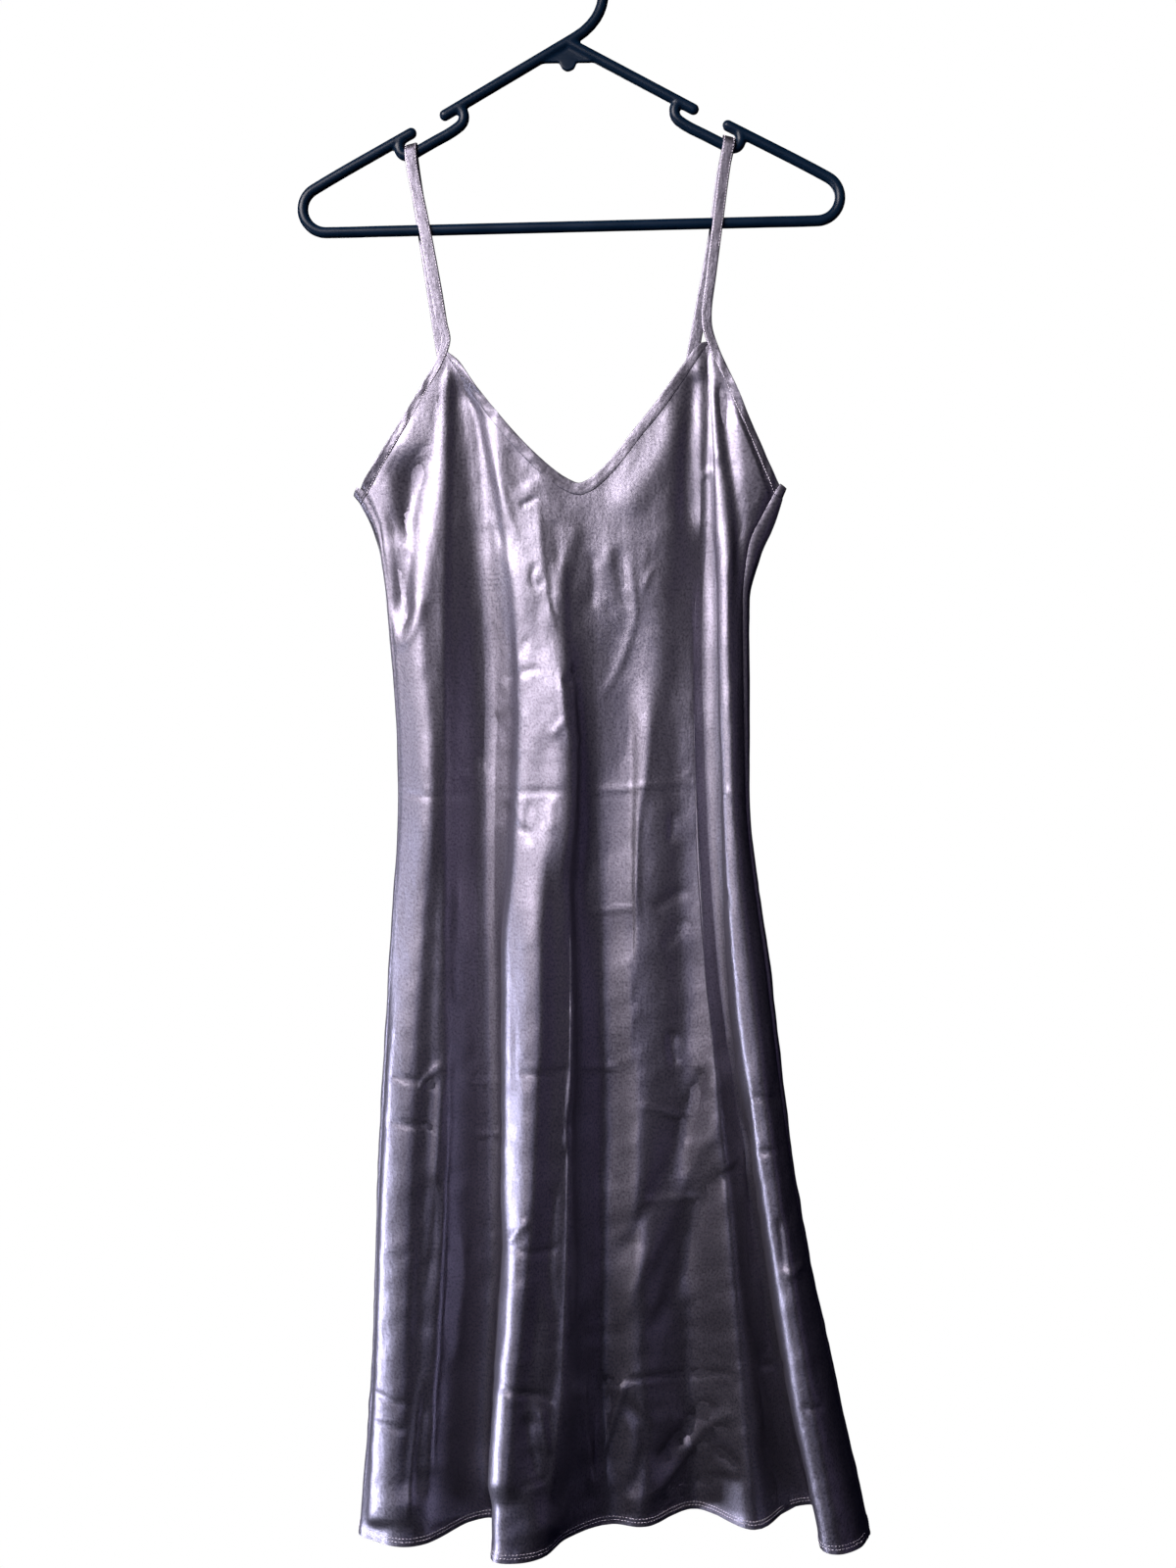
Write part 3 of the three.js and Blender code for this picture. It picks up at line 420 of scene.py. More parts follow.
def smooth_through(xs, ys, at):
    """Smooth values at the given places through a table's points, with no overshoot between them."""
    xs = np.asarray(xs, float)
    ys = np.asarray(ys, float)
    if xs[0] > xs[-1]:
        xs = xs[::-1]
        ys = ys[::-1]
    at = np.clip(np.asarray(at, float), xs[0], xs[-1])
    step = np.diff(xs)
    slope = np.diff(ys) / step
    tangent = np.empty_like(ys)
    tangent[0] = slope[0]
    tangent[-1] = slope[-1]
    before = slope[:-1]
    after = slope[1:]
    total = np.where(before + after == 0, 1, before + after)
    tangent[1:-1] = np.where(before * after <= 0, 0, 2 * before * after / total)
    i = np.clip(np.searchsorted(xs, at, side="right") - 1, 0, len(xs) - 2)
    span = step[i]
    t = (at - xs[i]) / span
    h00 = 2 * t ** 3 - 3 * t ** 2 + 1
    h10 = t ** 3 - 2 * t ** 2 + t
    h11 = t ** 3 - t ** 2
    return h00 * ys[i] + h10 * span * tangent[i] + (1 - h00) * ys[i + 1] + h11 * span * tangent[i + 1]


def curve_through(points, cells):
    """Centripetal curve through points of shape (..., n, 3), with so many cells after each point."""
    points = np.asarray(points, float)
    first = 2 * points[..., :1, :] - points[..., 1:2, :]
    last = 2 * points[..., -1:, :] - points[..., -2:-1, :]
    p = np.concatenate([first, points, last], axis=-2)
    knot = np.maximum(np.linalg.norm(np.diff(p, axis=-2), axis=-1), 1e-9) ** 0.5
    pieces = []
    for i, count in enumerate(cells):
        p0, p1, p2, p3 = (p[..., i + k, None, :] for k in range(4))
        d0, d1, d2 = (knot[..., i + k, None, None] for k in range(3))
        t1 = ((p1 - p0) / d0 - (p2 - p0) / (d0 + d1) + (p2 - p1) / d1) * d1
        t2 = ((p2 - p1) / d1 - (p3 - p1) / (d1 + d2) + (p3 - p2) / d2) * d1
        t = (np.arange(count) / count)[:, None]
        square = -3 * p1 + 3 * p2 - 2 * t1 - t2
        cube = 2 * p1 - 2 * p2 + t1 + t2
        pieces.append(p1 + t1 * t + square * t ** 2 + cube * t ** 3)
    pieces.append(points[..., -1:, :])
    return np.concatenate(pieces, axis=-2)


def unit(v):
    return v / np.maximum(np.linalg.norm(v, axis=-1, keepdims=True), 1e-12)


def passed_along(points):
    """How far along a line each of its points is."""
    return np.concatenate([[0], np.cumsum(np.linalg.norm(np.diff(points, axis=0), axis=1))])


def read_at(places, passed, values):
    """Every column of a line's values, read at places along it."""
    return np.stack([np.interp(places, passed, column) for column in np.asarray(values).T], -1)


def resampled(points, spacing):
    """The same line with even steps, and how far along it each of its points is."""
    passed = passed_along(points)
    count = max(2, int(round(passed[-1] / spacing)) + 1)
    at = np.linspace(0, passed[-1], count)
    return read_at(at, passed, points), at


def low_share(down):
    """0 above the lower skirt, rising to 1 within it."""
    return np.clip((down - LOW_SKIRT) / LOW_SKIRT_RANGE, 0, 1)


def cells_for(folds, spacing, fewest):
    """Grid cells between neighbouring fold lines, in all a multiple of four."""
    xs = np.array([fold[1] for fold in folds], float)
    ys = np.array([fold[2] for fold in folds], float)
    widths = np.hypot(np.diff(xs, axis=0), 0.6 * np.diff(ys, axis=0)).mean(axis=1)
    cells = [max(fewest, round(width / spacing)) for width in widths]
    widest = int(np.argmax(widths))
    cells[widest] += -sum(cells) % 4
    return cells


def fold_points(folds, z, top_height):
    """Points of every fold line at the given heights, in millimetres, as (heights, folds, 3)."""
    heights = [top_height, *HEIGHTS.values()]
    z = np.asarray(z, float)
    columns = [np.stack([smooth_through(heights, x, z), smooth_through(heights, y, z), z], -1)
               for _, x, y in folds]
    return np.stack(columns, axis=1)


def top_of_front(x):
    """Height and binding width of the front's top edge at x, in millimetres."""
    table = np.array(FRONT_TOP, float)
    x = np.asarray(x, float)
    z = np.empty_like(x)
    for low, high in ((-1e3, LEFT_APEX_X), (LEFT_APEX_X, RIGHT_APEX_X), (RIGHT_APEX_X, 1e3)):
        rows = table[(table[:, 0] >= low) & (table[:, 0] <= high)]
        here = (x >= low) & (x <= high)
        z[here] = smooth_through(rows[:, 0], rows[:, 1], x[here])
    return z, smooth_through(table[:, 0], table[:, 2], x)


def front_grid():
    """The front panel's outer face before its creases, straight down to the yoke and then along the folds."""
    cells = cells_for(FRONT_FOLDS, FRONT_SPACING, 7)
    top_points = np.array([[fold[1][0], fold[2][0], 0] for fold in FRONT_FOLDS], float)
    top = curve_through(top_points, cells)
    top[:, 2] = top_of_front(top[:, 0])[0]
    below = np.linspace(HEIGHTS["yoke"], HEIGHTS["hem"], ROWS_BELOW_YOKE + 1)
    lower = curve_through(fold_points(FRONT_FOLDS, below, HEIGHTS["yoke"] + 1), cells)
    share = (np.arange(ROWS_ABOVE_YOKE) / ROWS_ABOVE_YOKE)[:, None, None]
    upper = top * (1 - share) + lower[0] * share
    return np.concatenate([upper, lower]) * MM


def back_grid(front):
    """The back panel's outer face before its creases, from one seam of the front round to the other."""
    cells = cells_for(BACK_FOLDS, BACK_SPACING, 12)
    top_x = curve_through(fold_points(BACK_FOLDS, [UNDERARM], UNDERARM), cells)[0, :, 0]
    table = np.array(BACK_TOP, float)
    top_height = smooth_through(table[:, 0], table[:, 1], top_x)
    heights = front[:, 0, 2] / MM
    share = np.clip((heights - BELOW_SCOOP) / (UNDERARM - BELOW_SCOOP), 0, 1)
    scooped = BELOW_SCOOP + (top_height - BELOW_SCOOP) * share[:, None]
    z = np.where(share[:, None] > 0, scooped, heights[:, None])
    middle = np.empty((len(heights), len(top_x), 3))
    for j in range(len(top_x)):
        middle[:, j] = curve_through(fold_points(BACK_FOLDS, z[:, j], UNDERARM), cells)[:, j]
    middle *= MM
    wraps = []
    sides = ((front[:, 0], front[:, 1], middle[:, 0]), (front[:, -1], front[:, -2], middle[:, -1]))
    for seam, inside, fold in sides:
        edge = seam + unit(fold - inside) * SEAM_GAP
        shares = np.linspace(0, 1, 7)[:-1]
        across = smooth_through([0, 0.5, 1], [0, 0.6, 1], shares)
        back = smooth_through([0, 0.5, 1], [0, 0.3, 1], shares)
        wrap = edge[:, None] + (fold - edge)[:, None] * across[None, :, None]
        wrap[..., 1] = edge[:, None, 1] + (fold - edge)[:, None, 1] * back[None, :]
        wraps.append(wrap)
    return np.concatenate([wraps[0], middle, wraps[1][:, ::-1]], axis=1)


def grid_normals(grid, facing):
    """The outward direction at every point of a grid whose outer face looks along facing."""
    down = np.gradient(grid, axis=0)
    across = np.gradient(grid, axis=1)
    return unit(np.cross(across, down)) * facing


def chart_place(points):
    """Across and down on the chart, as the points are seen from the camera."""
    nearer = (points[..., 1] - CAMERA_AT[1]) / -CAMERA_AT[1]
    across = CHART_MIDDLE[0] + (points[..., 0] - CAMERA_AT[0]) / (CHART_UNIT * nearer)
    down = CHART_MIDDLE[1] - (points[..., 2] - CAMERA_AT[2]) / (CHART_UNIT * nearer)
    return across, down


def crease_relief(across, down, creases):
    """How far the creases raise each point, in metres."""
    relief = np.zeros(across.shape)
    for one in creases:
        knots = np.array([(*point, 0) for point in one["points"]], float)
        line = curve_through(knots, [4] * (len(knots) - 1))[:, :2]
        reach = 3.2 * max(one["left"], one["right"])
        near = ((across > line[:, 0].min() - reach) & (across < line[:, 0].max() + reach)
                & (down > line[:, 1].min() - reach) & (down < line[:, 1].max() + reach))
        if not near.any():
            continue
        x = across[near]
        y = down[near]
        best = np.full(x.shape, 1e9)
        side = np.zeros(x.shape)
        along = np.zeros(x.shape)
        passed = passed_along(line)
        for k, length in enumerate(np.linalg.norm(np.diff(line, axis=0), axis=1)):
            dx, dy = (line[k + 1] - line[k]) / length
            t = np.clip((x - line[k, 0]) * dx + (y - line[k, 1]) * dy, 0, length)
            gap_x = x - line[k, 0] - t * dx
            gap_y = y - line[k, 1] - t * dy
            distance = np.hypot(gap_x, gap_y)
            closer = distance < best
            best = np.where(closer, distance, best)
            side = np.where(closer, dy * gap_x - dx * gap_y, side)
            along = np.where(closer, passed[k] + t, along)
        share = along / passed[-1]
        fade = np.clip(share / one["start"], 0, 1) * np.clip((1 - share) / one["end"], 0, 1)
        fade = fade * fade * (3 - 2 * fade)
        width = np.where(side < 0, one["left"], one["right"])
        off = best / width
        profile = np.exp(-off) if one["pressed"] else np.exp(-off ** 2)
        deeper = low_share(y) * (abs(one["height"]) < SMALL_CREASE)
        relief[near] += one["height"] * fade * profile * (1 + deeper)
    return relief


def soft_noise(u, v, seed):
    """Smooth uneven values between -1 and 1 with about one wave a unit."""
    lattice = np.random.default_rng(seed).uniform(-1, 1, (128, 128))
    iu = np.floor(u).astype(int)
    iv = np.floor(v).astype(int)
    fu = u - iu
    fv = v - iv
    fu = fu * fu * (3 - 2 * fu)
    fv = fv * fv * (3 - 2 * fv)
    a = lattice[iu % 128, iv % 128]
    b = lattice[(iu + 1) % 128, iv % 128]
    c = lattice[iu % 128, (iv + 1) % 128]
    d = lattice[(iu + 1) % 128, (iv + 1) % 128]
    return (a * (1 - fu) + b * fu) * (1 - fv) + (c * (1 - fu) + d * fu) * fv


def cloth_relief(across, down, creases, seed):
    """The creases, and the soft unevenness of the whole cloth, which is stronger low down."""
    relief = crease_relief(across, down, creases)
    relief += 0.45 * MM * soft_noise(across / 22, down / 95, seed)
    relief += 0.22 * MM * soft_noise((across + 0.4 * down) / 17, down / 30, seed + 1)
    relief += 0.4 * MM * soft_noise((across + 0.7 * down) / 38, (down - 0.5 * across) / 60, seed + 4)
    crumpled = np.clip(soft_noise(across / 60, down / 70, seed + 2) + 0.2, 0, 1)
    relief += 0.2 * MM * crumpled * soft_noise((across - 0.3 * down) / 7, down / 9, seed + 3)
    low = low_share(down)
    relief += 0.3 * MM * low * soft_noise(across / 30 + 0.01 * down, (down + 0.2 * across) / 11, seed + 7)
    relief += 0.35 * MM * low * soft_noise((across + 0.5 * down) / 15, (down - 0.4 * across) / 26, seed + 8)
    return relief


def dressed_grid(grid, facing, creases, seed):
    """A panel's outer face with its creases, its hem and its seam edges."""
    normals = grid_normals(grid, facing)
    across, down = chart_place(grid)
    relief = cloth_relief(across, down, creases, seed)
    from_left = np.linalg.norm(grid - grid[:, :1], axis=2)
    from_side = np.minimum(from_left, np.linalg.norm(grid - grid[:, -1:], axis=2))
    from_top = np.linalg.norm(grid - grid[:1], axis=2)
    relief = relief * np.clip(from_side / (9 * MM), 0, 1) * np.clip(0.35 + from_top / (14 * MM), 0, 1)
    # each side edge sinks into its seam
    relief -= 0.9 * MM * np.exp(-(from_side / (1.3 * MM)) ** 2)
    # the hem is thicker, its stitches pull it in, and it puckers between them
    above_hem = grid[..., 2] - grid[-1:, :, 2]
    pull = soft_noise(across / 5, down * 0, seed + 5) + 0.6 * soft_noise(across / 2.4, down * 0, seed + 6)
    relief += 0.55 * MM * (0.5 + 0.5 * np.tanh((HEM_TURN_UP - above_hem) / (0.7 * MM)))
    relief += 0.22 * MM * pull * np.exp(-((above_hem - 5 * MM) / (4.5 * MM)) ** 2)
    relief -= 0.28 * MM * np.exp(-((above_hem - 4.7 * MM) / (1.5 * MM)) ** 2)
    return grid + normals * relief[..., None]


def mesh_object(name, points, faces, uv=None, smooth_angle=75):
    mesh = bpy.data.meshes.new(name)
    mesh.from_pydata([tuple(p) for p in points], [], [tuple(f) for f in faces])
    mesh.validate()
    mesh.update()
    if uv is not None:
        layer = mesh.uv_layers.new(name="cloth")
        corners = np.empty(len(mesh.loops), int)
        mesh.loops.foreach_get("vertex_index", corners)
        layer.data.foreach_set("uv", np.asarray(uv)[corners].astype(np.float32).ravel())
    piece = bpy.data.objects.new(name, mesh)
    bpy.context.scene.collection.objects.link(piece)
    deselect()
    piece.select_set(True)
    bpy.context.view_layer.objects.active = piece
    bpy.ops.object.shade_smooth_by_angle(angle=math.radians(smooth_angle))
    piece.select_set(False)
    return piece


def rim(outer, inner, skip, turned):
    """Faces that close the edge between a fine outer line and a coarse inner one."""
    faces = []
    for k in range(len(inner) - 1):
        fine = outer[k * skip:(k + 1) * skip + 1]
        faces += [(a, b, inner[k]) for a, b in zip(fine, fine[1:])]
        faces.append((fine[-1], inner[k + 1], inner[k]))
    return [face[::-1] for face in faces] if turned else faces


def cell_faces(ids):
    """One four-sided face for every cell of a grid of vertices."""
    return np.stack([ids[:-1, :-1], ids[1:, :-1], ids[1:, 1:], ids[:-1, 1:]], -1).reshape(-1, 4)


def panel(name, grid, facing):
    """A thin shell: the fine outer face, and a coarser inner face behind it."""
    skip = INNER_FACE_SKIP
    normals = grid_normals(grid, facing)
    from_hem = grid[..., 2] - grid[-1:, :, 2]
    depth = SATIN + 0.7 * MM * (from_hem < HEM_TURN_UP)
    inner = (grid - normals * (depth + INNER_FACE_DROP)[..., None])[::skip, ::skip]
    height, width = grid.shape[:2]
    low, narrow = inner.shape[:2]
    outer_id = np.arange(height * width).reshape(height, width)
    inner_id = np.arange(low * narrow).reshape(low, narrow) + height * width
    faces = cell_faces(outer_id)
    backs = cell_faces(inner_id)[:, [0, 3, 2, 1]]
    closing = rim(outer_id[0], inner_id[0], skip, False)
    closing += rim(outer_id[-1], inner_id[-1], skip, True)
    closing += rim(outer_id[:, 0], inner_id[:, 0], skip, True)
    closing += rim(outer_id[:, -1], inner_id[:, -1], skip, False)
    all_faces = faces.tolist() + backs.tolist() + [[int(v) for v in face] for face in closing]
    if facing > 0:
        all_faces = [face[::-1] for face in all_faces]
    steps = np.linalg.norm(np.diff(grid, axis=1), axis=2)
    across = np.concatenate([np.zeros((height, 1)), np.cumsum(steps, axis=1)], axis=1)
    across -= across[:, width // 2:width // 2 + 1]
    level = ROWS_ABOVE_YOKE if facing < 0 else int(np.argmax(grid[:, width // 2, 2] < BELOW_SCOOP * MM))
    across[:level] = across[level]
    drop = np.linalg.norm(np.diff(grid, axis=0), axis=2)
    along = np.concatenate([np.zeros((1, width)), np.cumsum(drop, axis=0)], axis=0)
    uv = np.stack([across, along[-1] - along], -1)
    points = np.concatenate([grid.reshape(-1, 3), inner.reshape(-1, 3)])
    uvs = np.concatenate([uv.reshape(-1, 2), uv[::skip, ::skip].reshape(-1, 2)])
    return mesh_object(name, points, all_faces, uvs)


class Strip:
    """A folded strip of satin between two edge lines, with puckers along it."""

    def __init__(self, name, edge_a, edge_b, facing, thickness, puckers, seed, spacing=1.3 * MM):
        both = np.concatenate([edge_a, edge_b], axis=1)
        passed = passed_along((edge_a + edge_b) / 2)
        self.along = np.linspace(0, passed[-1], int(round(passed[-1] / spacing)) + 1)
        both = read_at(self.along, passed, both)
        self.a = both[:, :3]
        self.b = both[:, 3:]
        self.length = passed[-1]
        tangent = unit(np.gradient((self.a + self.b) / 2, axis=0))
        self.normal = unit(np.cross(self.b - self.a, tangent)) * facing
        self.thickness = thickness
        self.puckers = puckers
        self.seed = seed
        self.name = name

    def lift(self, share):
        """How far the strip's face waves out at a share of its width."""
        u = self.along / (8.5 * MM)
        wave = soft_noise(u + 0.9 * share, u * 0 + 0.8 * share, self.seed)
        wave = wave + 0.25 * soft_noise(2.3 * u - 1.2 * share, u * 0 + 1.5 * share, self.seed + 1)
        return self.puckers * wave * math.sin(math.pi * min(max(share, 0.06), 0.94)) ** 0.5

    def line(self, share, out):
        """A line along the strip at a share of its width, held out from its face."""
        height = self.lift(share) + self.thickness * 0.5 + out
        return self.a + (self.b - self.a) * share + self.normal * height[:, None]

    def build(self):
        turns = np.linspace(0, 2 * math.pi, 20, endpoint=False)
        rings = []
        uvs = []
        width = np.linalg.norm(self.b - self.a, axis=1).mean()
        for turn in turns:
            c = math.cos(turn)
            s = math.sin(turn)
            share = 0.5 - 0.5 * math.copysign(abs(c) ** 0.85, c)
            level = math.copysign(abs(s) ** 0.32, s) * 0.5
            point = self.a + (self.b - self.a) * share
            rings.append(point + self.normal * (self.lift(share) + self.thickness * level)[:, None])
            uvs.append(np.stack([np.full_like(self.along, share * width), self.along], -1))
        grid = np.stack(rings, axis=1)
        rows, sides = grid.shape[:2]
        ids = np.arange(rows * sides).reshape(rows, sides)
        beside = np.roll(ids, -1, axis=1)
        quads = np.stack([ids[:-1], ids[1:], beside[1:], beside[:-1]], -1).reshape(-1, 4).tolist()
        ends = [ids[0].tolist(), ids[-1][::-1].tolist()]
        faces = quads + ends
        volume = 0.0
        flat = grid.reshape(-1, 3)
        centre = flat.mean(axis=0)
        for face in quads[::7]:
            p = flat[face] - centre
            volume += float(np.dot(p[0], np.cross(p[1], p[2])))
        if volume < 0:
            faces = [face[::-1] for face in faces]
        return mesh_object(self.name, flat, faces, np.stack(uvs, axis=1).reshape(-1, 2), smooth_angle=60)


def edge_strip(grid, facing, inside, outside):
    """Two lines along a panel's top edge: a little way down the panel, and the given widths outside it."""
    row = grid[0]
    tangent = np.gradient(row, axis=0)
    normal = grid_normals(grid[:3], facing)[0]
    outward = unit(np.cross(normal, tangent))
    outward = outward * np.where(outward[:, 2:3] < 0, -1, 1)
    return row + outward * np.asarray(outside)[:, None], row - outward * inside


def stitches(name, line, normals, pitch, length, width, height):
    """Thread stitches laid along a line."""
    path, at = resampled(line, 0.35 * MM)
    source = passed_along(line)
    up = read_at(at / at[-1] * source[-1], source, normals)
    profile = ((-0.5, 0.25), (-0.3, 0.95), (0.3, 0.95), (0.5, 0.25))
    points = []
    faces = []
    count = int(at[-1] // pitch)
    for k in range(count):
        base = len(points)
        for offset, size in profile:
            place = (k + 0.5) * pitch + offset * length
            behind, p, ahead = read_at([place - 0.4 * MM, place, place + 0.4 * MM], at, path)
            n = unit(read_at(place, at, up))
            side = unit(np.cross(ahead - behind, n))
            for corner in range(5):
                turn = math.pi * corner / 4
                outwards = side * (math.cos(turn) * width * size / 2)
                points.append(p + outwards + n * (math.sin(turn) * height * size))
        for ring in range(len(profile) - 1):
            for corner in range(5):
                a = base + ring * 5 + corner
                b = base + ring * 5 + (corner + 1) % 5
                faces.append((a, b, b + 5, a + 5))
        faces.append(tuple(base + c for c in (4, 3, 2, 1, 0)))
        faces.append(tuple(base + 15 + c for c in range(5)))
    return mesh_object(name, points, faces, smooth_angle=50)


def hanger_point(x, z):
    """The place of a point given in the hanger's own frame, which is tilted about where the hook rests."""
    dx = (x - HOOK_REST[0]) * MM
    dz = (z - HOOK_REST[1]) * MM
    c = math.cos(HANGER_TILT)
    s = math.sin(HANGER_TILT)
    return np.array([dx * c - dz * s, 0.0, dx * s + dz * c])


def arc(centre, radius, first, last, steps):
    angles = [math.radians(first + (last - first) * k / steps) for k in range(steps + 1)]
    return [(centre[0] + radius * math.cos(a), centre[1] + radius * math.sin(a)) for a in angles]


def deselect():
    for other in bpy.context.selected_objects:
        other.select_set(False)


def added(name):
    """The primitive just added, under its name, with its place and turn carried into its mesh."""
    piece = bpy.context.object
    piece.name = name
    bpy.ops.object.transform_apply(location=True, rotation=True, scale=True)
    return piece


def face_outwards():
    """Turn every face of the mesh being edited outwards, and stop editing."""
    bpy.ops.mesh.select_all(action="SELECT")
    bpy.ops.mesh.normals_make_consistent(inside=False)
    bpy.ops.object.mode_set(mode="OBJECT")


def rod(name, points, steps):
    """A round rod drawn out ring by ring along points in the hanger's plane."""
    path = curve_through(np.array(points), [steps] * (len(points) - 1))
    headings = [math.atan2(b[2] - a[2], b[0] - a[0]) for a, b in zip(path, path[1:])]
    for k in range(1, len(headings)):
        turn = (headings[k] - headings[k - 1] + math.pi) % (2 * math.pi) - math.pi
        headings[k] = headings[k - 1] + turn
    rings = [headings[0]] + [(a + b) / 2 for a, b in zip(headings, headings[1:])] + [headings[-1]]
    deselect()
    bpy.ops.mesh.primitive_circle_add(vertices=20, radius=ROD_RADIUS * MM, location=path[0],
                                      rotation=(0, math.pi / 2 - rings[0], 0))
    piece = added(name)
    bpy.ops.object.mode_set(mode="EDIT")
    bpy.ops.mesh.select_all(action="SELECT")
    bpy.ops.mesh.edge_face_add()
    for k in range(1, len(path)):
        bpy.ops.mesh.extrude_region_move(TRANSFORM_OT_translate={"value": tuple(path[k] - path[k - 1])})
        bpy.ops.transform.rotate(value=rings[k] - rings[k - 1], orient_axis="Y",
                                 center_override=tuple(path[k]))
    face_outwards()
    return piece


def knob(name, place):
    """A round end as thick as the rods."""
    deselect()
    bpy.ops.mesh.primitive_uv_sphere_add(segments=24, ring_count=16, radius=ROD_RADIUS * MM, location=place)
    return added(name)


def apex_web():
    """The thin web under the apex with its round knob."""
    deselect()
    bpy.ops.mesh.primitive_circle_add(vertices=3, radius=10 * MM, fill_type="NGON", location=(0, 0, 0),
                                      rotation=(math.pi / 2, 0, 0))
    plate = added("apex web")
    corners = (hanger_point(0, 0), hanger_point(-27, -15.8), hanger_point(27, -15.8))
    for vertex, corner in zip(plate.data.vertices, corners):
        vertex.co = Vector(corner) + Vector((0, -2 * MM, 0))
    bpy.ops.object.mode_set(mode="EDIT")
    bpy.ops.mesh.select_all(action="SELECT")
    bpy.ops.mesh.extrude_region_move(TRANSFORM_OT_translate={"value": (0, 4 * MM, 0)})
    face_outwards()
    deselect()
    bpy.ops.mesh.primitive_cylinder_add(vertices=40, radius=6.5 * MM, depth=4 * MM,
                                        location=hanger_point(0, -15.8), rotation=(math.pi / 2, 0, 0))
    return [plate, added("apex boss")]


def make_hanger():
    """The hanger: its rods, knobs and web, fused into one moulding with eased joints."""
    parts = []
    for side, word in ((-1, "left"), (1, "right")):
        upper_tip = hanger_point(side * UPPER_TIP[0], UPPER_TIP[1])
        middle = hanger_point(side * 48, -27)
        parts.append(rod(f"{word} upper arm", [hanger_point(0, 0), middle, upper_tip], 3))
        parts.append(knob(f"{word} upper tip", upper_tip))
        parts.append(rod(f"{word} notch", [hanger_point(side * x, z) for x, z in MIDDLE_ROD], 3))
        parts.append(knob(f"{word} outer tip", hanger_point(side * OUTER_TIP[0], OUTER_TIP[1])))
        end = arc(END_BEND, END_BEND_RADIUS, 62, -90, 14)
        frame_side = [OUTER_TIP, (148, -81.2), (175, -95.7), *end, (150, BAR_Z), (80, BAR_Z), (0, BAR_Z)]
        parts.append(rod(f"{word} frame", [hanger_point(side * x, z) for x, z in frame_side], 2))
    rise = [(-10, -5.6), (0, 0), (13, 8), (22.5, 18), (27.3, 28)]
    bend = arc(HOOK_CENTRE, HOOK_RADIUS, 0, 172, 16)
    parts.append(rod("hook", [hanger_point(x, z) for x, z in rise + bend], 2))
    parts.append(knob("hook end", hanger_point(*bend[-1])))
    parts += apex_web()
    deselect()
    for part in parts:
        part.select_set(True)
    bpy.context.view_layer.objects.active = parts[0]
    bpy.ops.object.join()
    moulding = bpy.context.object
    moulding.name = "hanger_moulding"
    for step, kind, settings in (
        ("fused", "REMESH", {"mode": "VOXEL", "voxel_size": 0.95 * MM}),
        ("eased", "SMOOTH", {"factor": 0.5, "iterations": 5}),
        ("lean", "DECIMATE", {"ratio": 0.6}),
    ):
        modifier = moulding.modifiers.new(step, kind)
        for setting, value in settings.items():
            setattr(modifier, setting, value)
        bpy.ops.object.modifier_apply(modifier=step)
    bpy.ops.object.shade_smooth_by_angle(angle=math.radians(60))
    deselect()
    return moulding


def new_material(name):
    material = bpy.data.materials.new(name)
    material.use_nodes = True
    tree = material.node_tree
    return material, tree, tree.nodes["Principled BSDF"]


def noise(tree, vector, scale, detail, roughness=0.5):
    made = tree.nodes.new("ShaderNodeTexNoise")
    made.inputs["Scale"].default_value = scale
    made.inputs["Detail"].default_value = detail
    made.inputs["Roughness"].default_value = roughness
    tree.links.new(vector, made.inputs["Vector"])
    return made.outputs["Fac"]


def ramp(tree, value, stops):
    made = tree.nodes.new("ShaderNodeValToRGB")
    while len(made.color_ramp.elements) < len(stops):
        made.color_ramp.elements.new(0.5)
    for element, (place, colour) in zip(made.color_ramp.elements, stops):
        element.position = place
        element.color = (*colour, 1)
    tree.links.new(value, made.inputs["Fac"])
    return made.outputs["Color"]


def mixed(tree, kind, factor, a, b):
    made = tree.nodes.new("ShaderNodeMix")
    made.data_type = "RGBA"
    made.blend_type = kind
    made.inputs["Factor"].default_value = factor
    tree.links.new(a, made.inputs["A"])
    tree.links.new(b, made.inputs["B"])
    return made.outputs["Result"]


def bump(tree, height, strength, distance, under=None):
    made = tree.nodes.new("ShaderNodeBump")
    made.inputs["Strength"].default_value = strength
    made.inputs["Distance"].default_value = distance
    tree.links.new(height, made.inputs["Height"])
    if under is not None:
        tree.links.new(under, made.inputs["Normal"])
    return made.outputs["Normal"]


def between(tree, value, low, high):
    """A value from 0 to 1 carried over to the range from low to high."""
    made = tree.nodes.new("ShaderNodeMapRange")
    made.inputs["To Min"].default_value = low
    made.inputs["To Max"].default_value = high
    tree.links.new(value, made.inputs["Value"])
    return made.outputs["Result"]


def stretched(tree, vector, scale, turn=0.0):
    """Cloth coordinates turned and stretched by a scale each way."""
    made = tree.nodes.new("ShaderNodeMapping")
    made.inputs["Rotation"].default_value = (0, 0, turn)
    made.inputs["Scale"].default_value = (*scale, 1)
    tree.links.new(vector, made.inputs["Vector"])
    return made.outputs["Vector"]


SATIN_COLOURS = ((0.262, 0.246, 0.298), (0.304, 0.288, 0.342))


